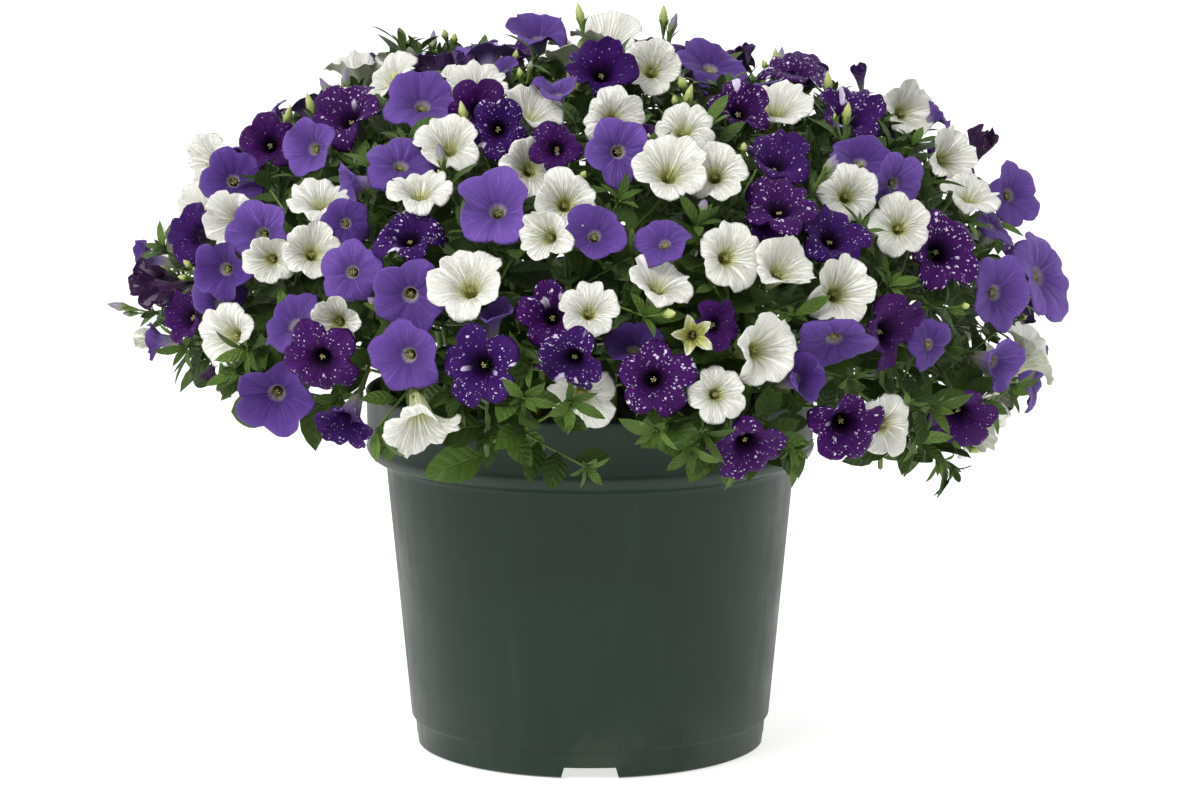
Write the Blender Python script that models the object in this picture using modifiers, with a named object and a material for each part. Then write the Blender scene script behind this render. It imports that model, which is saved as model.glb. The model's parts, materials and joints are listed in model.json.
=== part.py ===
"""Potted petunia plants: a dark green plastic pot, its soil, and the shoots that stand in it.

Each flowering spray carries blooms of one colour: white, violet, or dark purple with white speckles.
Metres, +Z up, the pot's axis on Z, its foot on z = 0, the side that the viewer sees towards -Y.
"""

import math
import random

import bmesh
import bpy
import numpy as np
from mathutils import Vector
from mathutils.bvhtree import BVHTree

# Pot
POT_HEIGHT = 0.246
RIM_RADIUS = 0.1525
RIM_BAND_FOOT = 0.197
BODY_TOP_RADIUS = 0.1390
BODY_FOOT_RADIUS = 0.1228
BASE_RING_HEIGHT = 0.0185
BASE_RING_RADIUS = 0.1205
FOOT_RADIUS = 0.1160
FOOT_WIDTH = 0.0085
FLOOR_UNDERSIDE = 0.0100
WALL = 0.0026
POT_SIDES = 36
SIDE_MERGE = 0.00005
LIP_DROP = 0.0012
RIM_TAPER = 0.0010
INNER_BAND_FOOT = 0.2080
LEDGE_REACH = 0.0040
LEDGE_HEIGHT = 0.2010
INNER_WALL_TOP = 0.1940
SHOULDER_FLARE = 0.0015
SHOULDER_HEIGHT = 0.1962
WALL_TOP = 0.1925
WALL_FOOT = 0.0210
FLOOR_CORNER = 0.0040
NOTCH_HEIGHT = 0.0080
NOTCH_WIDTH = 0.0430
NOTCH_NARROWING = 0.80
NOTCH_REACH = 0.0300
DRAIN_RADIUS = 0.0070
DRAIN_CIRCLE = 0.0900
DRAIN_SIDES = 8
DRAIN_CUT = 0.0200
NOTCHES = 4

# Rim band from its lip down: how far each corner lies outside the rim's radius, and its height
RIM_SECTION = (
    (-0.0018, POT_HEIGHT),
    (0.0003, POT_HEIGHT - 0.0018),
    (-0.0008, 0.2100),
    (0.0001, 0.2065),
    (-0.0018, 0.2020),
    (-0.0062, 0.1985),
)

# Base ring from its top down, then the foot's outer edge, each measured from its own radius
BASE_SECTION = (
    (0.0004, BASE_RING_HEIGHT + 0.0008),
    (-0.0004, BASE_RING_HEIGHT - 0.0006),
    (-0.0015, 0.0040),
)
FOOT_SECTION = ((0.0006, 0.0008), (-0.0010, 0.0))

# Soil
SEAT_GAP = 0.0004
SOIL_EDGE_HEIGHT = 0.2190
SOIL_CROWN_HEIGHT = 0.2260
SOIL_FLAT_RADIUS = 0.0850
SOIL_FLAT_DROP = 0.0010
SEAT_RISE = 0.0001
STEM_SINK = 0.0350
HOLE_GAP = 0.0004
HOLE_SIDES = 5
HOLE_CUT = 0.0500

# Mound of blooms: how far its surface lies from its centre, by the angle from straight up
MOUND_CENTRE = Vector((0.0, 0.0, 0.262))
MOUND_REACH = (
    (0, 0.222),
    (20, 0.226),
    (35, 0.240),
    (50, 0.268),
    (62, 0.290),
    (75, 0.304),
    (88, 0.304),
    (100, 0.286),
    (112, 0.262),
)
WAVE = 0.0060
SMALL_WAVE_SHARE = 0.7
WAVE_COUNTS = (3, 5)
WAVE_TURNS = (0.7, 2.1)
RIGHT_DRAWN_IN = 0.0040
BACK_SWELL = 0.0070
EDGE_POLAR = math.radians(95)
EDGE_RIGHT = math.radians(6)
EDGE_BACK = math.radians(4)
NORMAL_STEP = 0.03

# Shoots
STEM_RADIUS = 0.0023
STEM_TIP_RADIUS = 0.0017
STEM_SIDES = 3
STEM_STEPS = 6
STALK_RADIUS = 0.0011
STALK_ROOT_RADIUS = 0.0008
STALK_SIDES = 3
STALK_BENT_LENGTH = 0.085
STALK_STRAIGHT = 0.35
LONGEST_STALK = 0.150
STALK_BEND = 0.42
CLEARANCE = 0.0004
STEM_RISE = 0.012
PATH_FINENESS = 12
ATTACH_SHARES = (0.1, 0.35, 0.6, 0.85)
SIDE_SPRAYS = 24
TOP_SPRAYS = 6
LEAFY_SHOOTS = 10
LEAFY_TOPS = 3
SPRAY_DEPTH = 0.072
SIDE_DEPTH_STEP = 0.006
TOP_DEPTH_STEP = 0.010
LEAFY_DEPTH = 0.042
SIDE_FOOT = 0.118
SIDE_FOOT_STEP = 0.018
TOP_FOOT = 0.050
LEAFY_FOOT = 0.128
LEAFY_TOP_FOOT = 0.064

# Where a shoot runs over the mound, in degrees from straight up, and by what share of a space it is turned
SIDE_START = 46
SIDE_SHORT_OF_EDGE = 2
TOP_RUN = (14, 30)
LEAFY_START = 66
LEAFY_PAST_EDGE = 5
LEAFY_TOP_RUN = (18, 34)
SIDE_TURN = 0.5
TOP_TURN = 0.25
LEAFY_TURN = 0.1
LEAFY_TOP_TURN = 0.5

# Blooms and leaves
BLOOM_RADIUS = 0.0245
BLOOM_LEAST = 0.0185
BLOOM_MOST = 0.0260
TUBE_LENGTH = 0.0270
TUBE_RADIUS = 0.0042
CALYX_RADIUS = 0.0017
LOBES = 5
NOTCH_SHARE = {"white": 0.84, "violet": 0.83, "speckled": 0.76}
TIP_LIFT = -0.10
NOTCH_LIFT = -0.02
PIT_DEPTH = 0.36
NECK_DEPTH = 0.56
BLOOM_SPACING = 0.0465
SPIRAL_POINTS = 620
SPIRAL_REACH = 1.22
SPIRAL_DEPTHS = (-0.004, 0.012)
SPIRAL_SIZES = (0.90, 1.05)
SPIRAL_TILT = 0.45
SPIRAL_LIFT = 0.22
MOST_BLOOMS = 186
BLOOM_DEPTHS = (0.0, 0.008, -0.006, 0.016, -0.012, 0.026)
BLOOM_LEANS = ((0.0, 1.0), (0.25, 1.0), (0.25, 0.92), (0.45, 0.86))
ROUTES_TRIED = 26
CROWDED_STEM = 0.012
MOST_TURNED_BACK = 0.15
LEAN_OUT = 0.35
LEAF_LENGTH = 0.0460
LEAF_WIDTH = 0.0270
LEAF_THICKNESS = 0.0012
LEAF_SPACING = 0.0300
LEAFY_SPACING_SHARE = 0.6
SPRAY_SPACING_SHARE = 1.6
LEAF_ROOT_SHARE = 0.6
LEAF_SIZES = (0.75, 1.1)
LEAF_TRIES = 7
LEAF_SWING = 1.6
LEAF_OUTWARD = (0.1, 1.0)
LEAF_FORWARD = (-0.1, 0.35)
LEAF_FACE_LIFT = 0.5
MOST_EDGE_ON = 0.95
MOST_LEAVES = 125
SEED = 7

# A leaf's edge and rib: share of its length, share of its half width, and rise as a share of its length
LEAF_EDGE = ((0.42, 1.0, 0.10), (0.74, 0.74, 0.07))
LEAF_TIP_RISE = -0.06
LEAF_RIB = (0.52, 0.04)

# How the plant is seen: the places of its front blooms are read in this view
VIEW_DISTANCE = 3.000
VIEW_ELEVATION = math.radians(9.0)
VIEW_POINT = Vector((0.0067, 0.0, 0.2363))
VIEW_SCALE = 4367.0
VIEW_CENTRE_X = 600
VIEW_CENTRE_Y = 400
SIGHT_START = 0.4
SIGHT_STEP = 0.003
SIGHT_STEPS = 200
SIGHT_SLACK = 1.03

# Front blooms: colour, place and size in the view, and the way it faces where it isn't outward
FRONT_BLOOMS = (
    ("speckled", 347, 115, 69, 79, "out"),
    ("violet", 711, 66, 69, 52, "up"),
    ("white", 670, 171, 69, 66, "out"),
    ("violet", 498, 209, 72, 60, "out"),
    ("speckled", 480, 366, 69, 71, "out"),
    ("speckled", 940, 250, 74, 76, "out"),
    ("white", 449, 145, 61, 58, "out"),
    ("speckled", 409, 234, 69, 53, "up"),
    ("violet", 594, 235, 61, 69, "out"),
    ("white", 838, 292, 64, 66, "out"),
    ("speckled", 655, 379, 66, 66, "out"),
    ("white", 762, 349, 56, 69, "out"),
    ("violet", 996, 294, 61, 74, "right"),
    ("speckled", 843, 425, 71, 69, "out"),
    ("violet", 408, 356, 64, 66, "out"),
    ("white", 717, 394, 61, 66, "out"),
    ("violet", 263, 235, 64, 64, "out"),
    ("white", 339, 322, 54, 54, "out"),
    ("speckled", 332, 363, 76, 51, "down"),
    ("speckled", 848, 117, 69, 54, "up"),
    ("violet", 424, 104, 71, 52, "up"),
    ("speckled", 601, 71, 64, 60, "out"),
    ("white", 776, 107, 64, 52, "up"),
    ("white", 469, 284, 69, 46, "up"),
    ("white", 589, 310, 51, 61, "out"),
    ("speckled", 550, 310, 59, 54, "out"),
    ("speckled", 571, 363, 69, 56, "down"),
    ("speckled", 716, 325, 61, 69, "right"),
    ("violet", 663, 242, 66, 55, "up"),
    ("speckled", 833, 236, 69, 59, "out"),
    ("violet", 619, 153, 64, 64, "out"),
    ("speckled", 889, 333, 56, 74, "right"),
    ("white", 424, 425, 69, 59, "down"),
    ("white", 651, 69, 51, 51, "up"),
    ("violet", 538, 38, 61, 30, "up"),
    ("violet", 403, 163, 69, 48, "up"),
    ("white", 683, 127, 56, 50, "up"),
    ("speckled", 270, 143, 56, 56, "left"),
    ("white", 209, 163, 38, 46, "left"),
    ("violet", 235, 181, 44, 44, "left"),
    ("violet", 314, 150, 44, 50, "left"),
    ("speckled", 556, 148, 61, 61, "out"),
    ("violet", 558, 94, 59, 35, "up"),
    ("white", 321, 199, 56, 34, "up"),
    ("violet", 347, 224, 54, 54, "out"),
    ("white", 424, 196, 61, 30, "up"),
    ("white", 235, 222, 48, 50, "left"),
    ("speckled", 196, 235, 40, 56, "left"),
    ("white", 314, 252, 46, 46, "out"),
    ("speckled", 296, 265, 44, 52, "left"),
    ("violet", 227, 270, 50, 50, "left"),
    ("violet", 352, 272, 54, 46, "out"),
    ("violet", 411, 297, 69, 46, "down"),
    ("white", 230, 335, 51, 61, "left"),
    ("violet", 293, 322, 42, 72, "left"),
    ("white", 660, 282, 66, 45, "up"),
    ("white", 731, 257, 46, 64, "right"),
    ("white", 782, 269, 64, 54, "out"),
    ("speckled", 779, 204, 69, 51, "up"),
    ("speckled", 774, 160, 69, 46, "up"),
    ("white", 904, 112, 48, 52, "right"),
    ("white", 945, 158, 44, 52, "right"),
    ("white", 968, 194, 56, 36, "up"),
    ("violet", 1035, 186, 61, 52, "right"),
    ("violet", 991, 224, 69, 42, "up"),
    ("violet", 1042, 275, 50, 72, "right"),
    ("white", 897, 227, 51, 51, "right"),
    ("violet", 859, 160, 56, 40, "up"),
    ("violet", 833, 345, 71, 42, "down"),
    ("violet", 930, 345, 52, 66, "right"),
    ("violet", 994, 363, 61, 54, "right"),
    ("violet", 1035, 379, 40, 72, "right"),
    ("speckled", 958, 419, 69, 59, "down"),
    ("speckled", 747, 448, 69, 45, "down"),
    ("white", 579, 404, 64, 46, "down"),
    ("speckled", 350, 419, 50, 54, "left"),
    ("violet", 637, 345, 66, 38, "up"),
    ("white", 547, 241, 40, 50, "left"),
    ("white", 566, 204, 48, 48, "up"),
    ("violet", 487, 315, 54, 44, "left"),
    ("speckled", 457, 320, 48, 48, "out"),
    ("white", 273, 260, 46, 46, "left"),
    ("violet", 357, 186, 44, 52, "left"),
    ("white", 530, 102, 46, 44, "up"),
    ("speckled", 497, 130, 46, 46, "out"),
    ("white", 612, 120, 46, 46, "up"),
    ("speckled", 477, 110, 44, 44, "up"),
    ("white", 714, 173, 48, 48, "out"),
    ("speckled", 739, 110, 48, 46, "up"),
    ("violet", 894, 186, 40, 58, "right"),
    ("white", 846, 194, 50, 48, "out"),
    ("speckled", 774, 237, 52, 46, "out"),
    ("white", 530, 148, 46, 44, "out"),
    ("white", 477, 89, 46, 42, "up"),
    ("violet", 802, 379, 44, 50, "right"),
    ("white", 887, 425, 44, 52, "right"),
    ("violet", 209, 302, 42, 46, "left"),
    ("speckled", 637, 120, 46, 44, "up"),
    ("speckled", 163, 284, 44, 50, "left"),
)

COLOURS = {
    "pot": (0.022, 0.034, 0.024),
    "soil": (0.030, 0.020, 0.013),
    "white": (0.800, 0.800, 0.750),
    "violet": (0.165, 0.090, 0.520),
    "speckled": (0.060, 0.014, 0.170),
    "leaf": (0.105, 0.205, 0.055),
}
ROUGHNESS = {
    "pot": 0.42,
    "soil": 0.95,
    "white": 0.60,
    "violet": 0.60,
    "speckled": 0.55,
    "leaf": 0.55,
}
KINDS = ("white", "violet", "speckled")
SPARE_SIDE = Vector((0.3, 0.9, 0.2))
UP = Vector((0.0, 0.0, 1.0))


def clear_scene():
    for obj in list(bpy.data.objects):
        bpy.data.objects.remove(obj)


def collection(name, hidden=False):
    made = bpy.data.collections.new(name)
    bpy.context.scene.collection.children.link(made)
    made.hide_render = hidden
    return made


def material(name):
    made = bpy.data.materials.new(name)
    made.use_nodes = True
    shader = made.node_tree.nodes["Principled BSDF"]
    shader.inputs["Base Color"].default_value = (*COLOURS[name], 1.0)
    shader.inputs["Roughness"].default_value = ROUGHNESS[name]
    shader.inputs["Metallic"].default_value = 0.0
    return made


def mesh_object(name, points, faces, home):
    mesh = bpy.data.meshes.new(name)
    mesh.from_pydata([tuple(point) for point in points], [], faces)
    obj = bpy.data.objects.new(name, mesh)
    home.objects.link(obj)
    return obj


def turned(name, profile, home):
    """A body of revolution about Z from a profile of (radius, height) points, with a Screw modifier."""
    edges = [(i, i + 1) for i in range(len(profile) - 1)]
    mesh = bpy.data.meshes.new(name)
    mesh.from_pydata([(radius, 0.0, height) for radius, height in profile], edges, [])
    obj = bpy.data.objects.new(name, mesh)
    home.objects.link(obj)
    screw = obj.modifiers.new("Turn", "SCREW")
    screw.steps = POT_SIDES
    screw.render_steps = POT_SIDES
    screw.use_merge_vertices = True
    screw.merge_threshold = SIDE_MERGE
    screw.use_smooth_shade = True
    return obj


def apply_modifiers(obj):
    graph = bpy.context.evaluated_depsgraph_get()
    mesh = bpy.data.meshes.new_from_object(obj.evaluated_get(graph))
    obj.modifiers.clear()
    obj.data = mesh
    return obj


def boolean(obj, operation, others, solver="EXACT"):
    """One Boolean with every object of a collection, applied."""
    modifier = obj.modifiers.new(operation.title(), "BOOLEAN")
    modifier.operation = operation
    modifier.operand_type = "COLLECTION"
    modifier.collection = others
    modifier.solver = solver
    bpy.context.view_layer.update()
    return apply_modifiers(obj)


def remove_collection(group):
    for obj in list(group.objects):
        bpy.data.objects.remove(obj)
    bpy.data.collections.remove(group)


def prism(name, sides, radius, height, home):
    bm = bmesh.new()
    bmesh.ops.create_cone(
        bm, cap_ends=True, segments=sides, radius1=radius, radius2=radius, depth=height
    )
    mesh = bpy.data.meshes.new(name)
    bm.to_mesh(mesh)
    bm.free()
    obj = bpy.data.objects.new(name, mesh)
    home.objects.link(obj)
    return obj


def block(name, home):
    bm = bmesh.new()
    bmesh.ops.create_cube(bm, size=1.0)
    mesh = bpy.data.meshes.new(name)
    bm.to_mesh(mesh)
    bm.free()
    obj = bpy.data.objects.new(name, mesh)
    home.objects.link(obj)
    return obj


def body_radius(height):
    """Outer radius of the pot's tapered body."""
    share = (height - BASE_RING_HEIGHT) / (RIM_BAND_FOOT - BASE_RING_HEIGHT)
    return BODY_FOOT_RADIUS + share * (BODY_TOP_RADIUS - BODY_FOOT_RADIUS)


def pot_profile():
    """The pot's section: up the inside from the floor to the rim, then down the outside."""
    floor_top = FLOOR_UNDERSIDE + WALL
    foot_inner = FOOT_RADIUS - FOOT_WIDTH
    rim_inner = RIM_RADIUS - WALL - RIM_TAPER
    inside = [
        (0.0, floor_top),
        (BASE_RING_RADIUS - WALL - FLOOR_CORNER, floor_top),
        (body_radius(WALL_FOOT) - WALL, WALL_FOOT),
        (body_radius(INNER_WALL_TOP) - WALL, INNER_WALL_TOP),
        (BODY_TOP_RADIUS + LEDGE_REACH, LEDGE_HEIGHT),
        (rim_inner, INNER_BAND_FOOT),
        (rim_inner, POT_HEIGHT - LIP_DROP),
    ]
    rim = [(RIM_RADIUS + outward, height) for outward, height in RIM_SECTION]
    wall = [
        (BODY_TOP_RADIUS + SHOULDER_FLARE, SHOULDER_HEIGHT),
        (BODY_TOP_RADIUS, WALL_TOP),
        (BODY_FOOT_RADIUS, WALL_FOOT),
    ]
    base = [(BASE_RING_RADIUS + outward, height) for outward, height in BASE_SECTION]
    foot = [(FOOT_RADIUS + outward, height) for outward, height in FOOT_SECTION]
    under = [(foot_inner, 0.0), (foot_inner, FLOOR_UNDERSIDE), (0.0, FLOOR_UNDERSIDE)]
    return inside + rim + wall + base + foot + under


def make_pot(home):
    """The hollow pot with four notches in its foot ring and a drain hole inside each."""
    pot = apply_modifiers(turned("pot", pot_profile(), home))
    cutters = collection("pot_cutters", hidden=True)
    for index in range(NOTCHES):
        azimuth = index * 2 * math.pi / NOTCHES - math.pi / 2
        outward = Vector((math.cos(azimuth), math.sin(azimuth), 0.0))
        notch = block("notch", cutters)
        for vertex in notch.data.vertices:
            high = vertex.co.z > 0
            width = NOTCH_WIDTH * (NOTCH_NARROWING if high else 1.0)
            height = NOTCH_HEIGHT if high else -NOTCH_HEIGHT
            vertex.co = (vertex.co.x * NOTCH_REACH, vertex.co.y * width, height)
        notch.rotation_euler.z = azimuth
        notch.location = outward * FOOT_RADIUS
        drain = prism("drain", DRAIN_SIDES, DRAIN_RADIUS, DRAIN_CUT, cutters)
        drain.location = outward * DRAIN_CIRCLE + Vector((0, 0, FLOOR_UNDERSIDE))
        for cutter in (notch, drain):
            cutter.display_type = "WIRE"
    boolean(pot, "DIFFERENCE", cutters)
    remove_collection(cutters)
    return pot


def soil_profile():
    """The soil's section: its crown and edge, then down inside the pot's wall with a gap all round."""
    floor_top = FLOOR_UNDERSIDE + WALL
    inner = WALL + SEAT_GAP
    edge = RIM_RADIUS - inner - RIM_TAPER
    return [
        (0.0, SOIL_CROWN_HEIGHT),
        (SOIL_FLAT_RADIUS, SOIL_CROWN_HEIGHT - SOIL_FLAT_DROP),
        (edge, SOIL_EDGE_HEIGHT),
        (edge, INNER_BAND_FOOT + SEAT_RISE),
        (BODY_TOP_RADIUS + LEDGE_REACH - SEAT_GAP, LEDGE_HEIGHT + 2 * SEAT_RISE),
        (body_radius(INNER_WALL_TOP) - inner, INNER_WALL_TOP + SEAT_RISE),
        (body_radius(WALL_FOOT) - inner, WALL_FOOT + SEAT_RISE),
        (BASE_RING_RADIUS - inner - FLOOR_CORNER, floor_top + SEAT_GAP),
        (0.0, floor_top + SEAT_GAP),
    ]


def make_soil(stem_feet, home):
    """The soil that fills the pot, with a plain hole for the foot of each shoot."""
    soil = apply_modifiers(turned("soil", soil_profile(), home))
    cutters = collection("soil_cutters", hidden=True)
    hole_radius = (STEM_RADIUS + HOLE_GAP) / math.cos(math.pi / HOLE_SIDES)
    for foot in stem_feet:
        depth = HOLE_CUT + STEM_SINK
        hole = prism("hole", HOLE_SIDES, hole_radius, depth, cutters)
        hole.display_type = "WIRE"
        hole.location = foot + Vector((0, 0, depth / 2 - HOLE_GAP))
    boolean(soil, "DIFFERENCE", cutters)
    remove_collection(cutters)
    return soil


def reach(polar, azimuth):
    """Distance from the mound's centre to its surface along a direction."""
    angles, reaches = zip(*MOUND_REACH)
    base = float(np.interp(math.degrees(polar), angles, reaches))
    side = math.sin(polar)
    broad, narrow = (
        math.sin(count * azimuth + turn) for count, turn in zip(WAVE_COUNTS, WAVE_TURNS)
    )
    wave = WAVE * side * side * broad + SMALL_WAVE_SHARE * WAVE * narrow * math.sin(2 * polar)
    drawn_in = RIGHT_DRAWN_IN * side * math.cos(azimuth)
    return base + wave - drawn_in + BACK_SWELL * side * max(0.0, math.sin(azimuth))


def edge_polar(azimuth):
    """How far down from straight up the blooms go: lower at the right and the back."""
    return EDGE_POLAR + EDGE_RIGHT * math.cos(azimuth) + EDGE_BACK * math.sin(azimuth)


def on_mound(polar, azimuth, depth=0.0):
    """The point of the mound's surface in a direction, or one at a depth below it."""
    level = math.sin(polar)
    direction = Vector((level * math.cos(azimuth), level * math.sin(azimuth), math.cos(polar)))
    return MOUND_CENTRE + direction * (reach(polar, azimuth) - depth)


def mound_angles(point):
    """A point's angle from straight up and its azimuth, seen from the mound's centre."""
    offset = point - MOUND_CENTRE
    polar = math.acos(max(-1.0, min(1.0, offset.z / offset.length)))
    return polar, math.atan2(offset.y, offset.x)


def mound_normal(point):
    """The way out of the mound at a point."""
    polar, azimuth = mound_angles(point)
    above = max(polar - NORMAL_STEP, 0.001)
    down = on_mound(polar + NORMAL_STEP, azimuth) - on_mound(above, azimuth)
    around = Vector((-math.sin(azimuth), math.cos(azimuth), 0.0))
    return around.cross(down).normalized() * -1.0


def view_axes():
    """The view's right, its up, and the way from the plant to the viewer."""
    towards = Vector((0.0, -math.cos(VIEW_ELEVATION), math.sin(VIEW_ELEVATION)))
    up = Vector((0.0, math.sin(VIEW_ELEVATION), math.cos(VIEW_ELEVATION)))
    return Vector((1.0, 0.0, 0.0)), up, towards


def seen_point(x, y):
    """The point of the mound's surface that a place in the view shows, or the nearest to it."""
    right, up, towards = view_axes()
    eye = VIEW_POINT + towards * VIEW_DISTANCE
    ray = right * (x - VIEW_CENTRE_X) - up * (y - VIEW_CENTRE_Y) - towards * VIEW_SCALE
    ray.normalize()
    best = None
    for step in range(SIGHT_STEPS):
        point = eye + ray * (VIEW_DISTANCE - SIGHT_START + step * SIGHT_STEP)
        share = (point - MOUND_CENTRE).length / reach(*mound_angles(point))
        if best is None or share < best[0]:
            best = (share, point)
        if share <= 1.0:
            break
    share, point = best
    return MOUND_CENTRE + (point - MOUND_CENTRE) / max(1.0, share / SIGHT_SLACK)


def smooth_path(points, steps):
    """Points at even distances along a Catmull-Rom curve through the given points."""
    padded = [points[0] * 2 - points[1], *points, points[-1] * 2 - points[-2]]
    fine = []
    for a, b, c, d in zip(padded, padded[1:], padded[2:], padded[3:]):
        for step in range(PATH_FINENESS):
            t = step / PATH_FINENESS
            square = 2 * a - 5 * b + 4 * c - d
            cube = 3 * b - a - 3 * c + d
            fine.append(0.5 * (2 * b + (c - a) * t + square * t * t + cube * t**3))
    fine.append(points[-1])
    lengths = np.cumsum([0.0] + [(q - p).length for p, q in zip(fine, fine[1:])])
    wanted = np.linspace(0.0, lengths[-1], steps + 1)
    columns = [np.interp(wanted, lengths, [p[axis] for p in fine]) for axis in range(3)]
    return [Vector(point) for point in zip(*columns)]


def shoot_path(azimuth, foot_radius, polars, depth):
    """A shoot's line: straight up out of the soil, then over the mound at a depth, in one upright plane."""
    outward = Vector((math.cos(azimuth), math.sin(azimuth), 0.0))
    foot = outward * foot_radius + Vector((0, 0, SOIL_CROWN_HEIGHT - STEM_SINK))
    rise = foot + Vector((0, 0, STEM_SINK + STEM_RISE))
    over = [on_mound(math.radians(polar), azimuth, depth) for polar in polars]
    shoulder = rise.lerp(over[0], 0.5) + Vector((0, 0, STEM_RISE))
    return [foot, *smooth_path([rise, shoulder, *over], STEM_STEPS)]


def stitch(first, second):
    """Triangles between two rings of vertex numbers that turn the same way."""
    faces, i, j = [], 0, 0
    many, few = len(first), len(second)
    while i < many or j < few:
        a, b = first[i % many], second[j % few]
        if j >= few or (i < many and (i + 1) * few <= (j + 1) * many):
            i += 1
            faces.append((a, first[i % many], b))
        else:
            j += 1
            faces.append((a, second[j % few], b))
    return faces


def across(direction, hint):
    """Two directions square to the given one."""
    side = direction.cross(hint)
    if side.length < 1e-4:
        side = direction.cross(SPARE_SIDE)
    side.normalize()
    return side, direction.cross(side).normalized()


def ring(points, centre, side, other, radius, count, turn=0.0):
    """Adds a circle of points and returns their numbers."""
    start = len(points)
    for index in range(count):
        angle = turn + index * 2 * math.pi / count
        points.append(centre + (side * math.cos(angle) + other * math.sin(angle)) * radius)
    return list(range(start, start + count))


def bloom_head(kind, centre, facing, turn, radius):
    """The bloom's lobed face and tube, open where its stalk begins, with the last ring and its axes."""
    side, other = across(facing, UP)
    points, outline = [], []
    for index in range(2 * LOBES):
        angle = turn + index * math.pi / LOBES
        length = radius * (NOTCH_SHARE[kind] if index % 2 else 1.0)
        lift = radius * (NOTCH_LIFT if index % 2 else TIP_LIFT)
        out = side * math.cos(angle) + other * math.sin(angle)
        points.append(centre + out * length + facing * lift)
        outline.append(index)
    points.append(centre - facing * radius * PIT_DEPTH)
    pit = len(points) - 1
    faces = [(pit, b, a) for a, b in zip(outline, outline[1:] + outline[:1])]
    neck_centre = centre - facing * radius * NECK_DEPTH
    neck = ring(points, neck_centre, side, other, TUBE_RADIUS, STALK_SIDES, turn)
    calyx_centre = centre - facing * TUBE_LENGTH
    calyx = ring(points, calyx_centre, side, other, CALYX_RADIUS, STALK_SIDES, turn)
    faces += stitch(outline, neck) + stitch(neck, calyx)
    return points, faces, calyx


def bloom_mesh(kind, centre, facing, turn, radius, root=None):
    """A whole bloom. With a root, its stalk bends from the tube's foot to that point inside a stem."""
    points, faces, last = bloom_head(kind, centre, facing, turn, radius)
    if root is not None:
        foot = centre - facing * TUBE_LENGTH
        length = (root - foot).length
        bend = foot - facing * length * STALK_BEND
        sharp = (bend - root).normalized().dot(facing) < STALK_STRAIGHT
        bent = sharp or length > STALK_BENT_LENGTH
        side, _ = across(facing, UP)
        for share in (0.5, 1.0) if bent else (1.0,):
            spot = foot.lerp(bend, share).lerp(bend.lerp(root, share), share)
            back = (foot.lerp(bend, share) - bend.lerp(root, share)).normalized()
            other = back.cross(side).normalized()
            side = other.cross(back)
            thickness = STALK_RADIUS if share < 1.0 else STALK_ROOT_RADIUS
            following = ring(points, spot, side, other, thickness, STALK_SIDES, turn)
            faces += stitch(last, following)
            last = following
    faces.append(tuple(last))
    return points, outward_faces(points, faces)


def stem_mesh(path):
    """The three-sided tube of a shoot, thinner towards its tip: points and faces."""
    out = Vector((path[-1].x, path[-1].y, 0.0)).normalized()
    side = out.cross(UP)
    points, faces, last = [], [], None
    for index, spot in enumerate(path):
        ahead = path[min(index + 1, len(path) - 1)] - path[max(index - 1, 0)]
        radius = STEM_RADIUS + index / (len(path) - 1) * (STEM_TIP_RADIUS - STEM_RADIUS)
        other = ahead.normalized().cross(side)
        following = ring(points, spot, side, other, radius, STEM_SIDES)
        faces += stitch(last, following) if last else [tuple(reversed(following))]
        last = following
    faces.append(tuple(last))
    return points, outward_faces(points, faces)


def leaf_mesh(root, direction, face_up, length, width):
    """A leaf folded along its rib, its foot two points inside the stem."""
    side = direction.cross(face_up).normalized()
    up = side.cross(direction).normalized()

    def edge(hand):
        return [
            root + direction * length * along + side * hand * width / 2 * over + up * length * rise
            for along, over, rise in LEAF_EDGE
        ]

    along, rise = LEAF_RIB
    points = [
        root + up * LEAF_THICKNESS * LEAF_ROOT_SHARE,
        root - up * LEAF_THICKNESS * LEAF_ROOT_SHARE,
        *edge(1),
        root + direction * length + up * length * LEAF_TIP_RISE,
        *reversed(edge(-1)),
        root + direction * length * along + up * (length * rise + LEAF_THICKNESS / 2),
        root + direction * length * along + up * (length * rise - LEAF_THICKNESS / 2),
    ]
    top = [(7, a, b) for a, b in zip((0, 2, 3, 4, 5, 6), (2, 3, 4, 5, 6, 0))]
    under = [(8, b, a) for a, b in zip((1, 2, 3, 4, 5, 6), (2, 3, 4, 5, 6, 1))]
    return points, outward_faces(points, top + under + [(0, 1, 2), (1, 0, 6)])


def outward_faces(points, faces):
    """The faces, turned round where they would enclose a negative volume."""
    volume = 0.0
    for face in faces:
        for b, c in zip(face[1:], face[2:]):
            volume += points[face[0]].dot(points[b].cross(points[c]))
    return faces if volume > 0 else [tuple(reversed(face)) for face in faces]


def swollen(points, faces, distance):
    """The points moved out along their normals, so that a test keeps a clearance."""
    normals = [Vector((0.0, 0.0, 0.0)) for _ in points]
    for face in faces:
        a, b, c = (points[index] for index in face[:3])
        normal = (b - a).cross(c - a).normalized()
        for index in face:
            normals[index] += normal
    return [point + normal.normalized() * distance for point, normal in zip(points, normals)]


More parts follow.
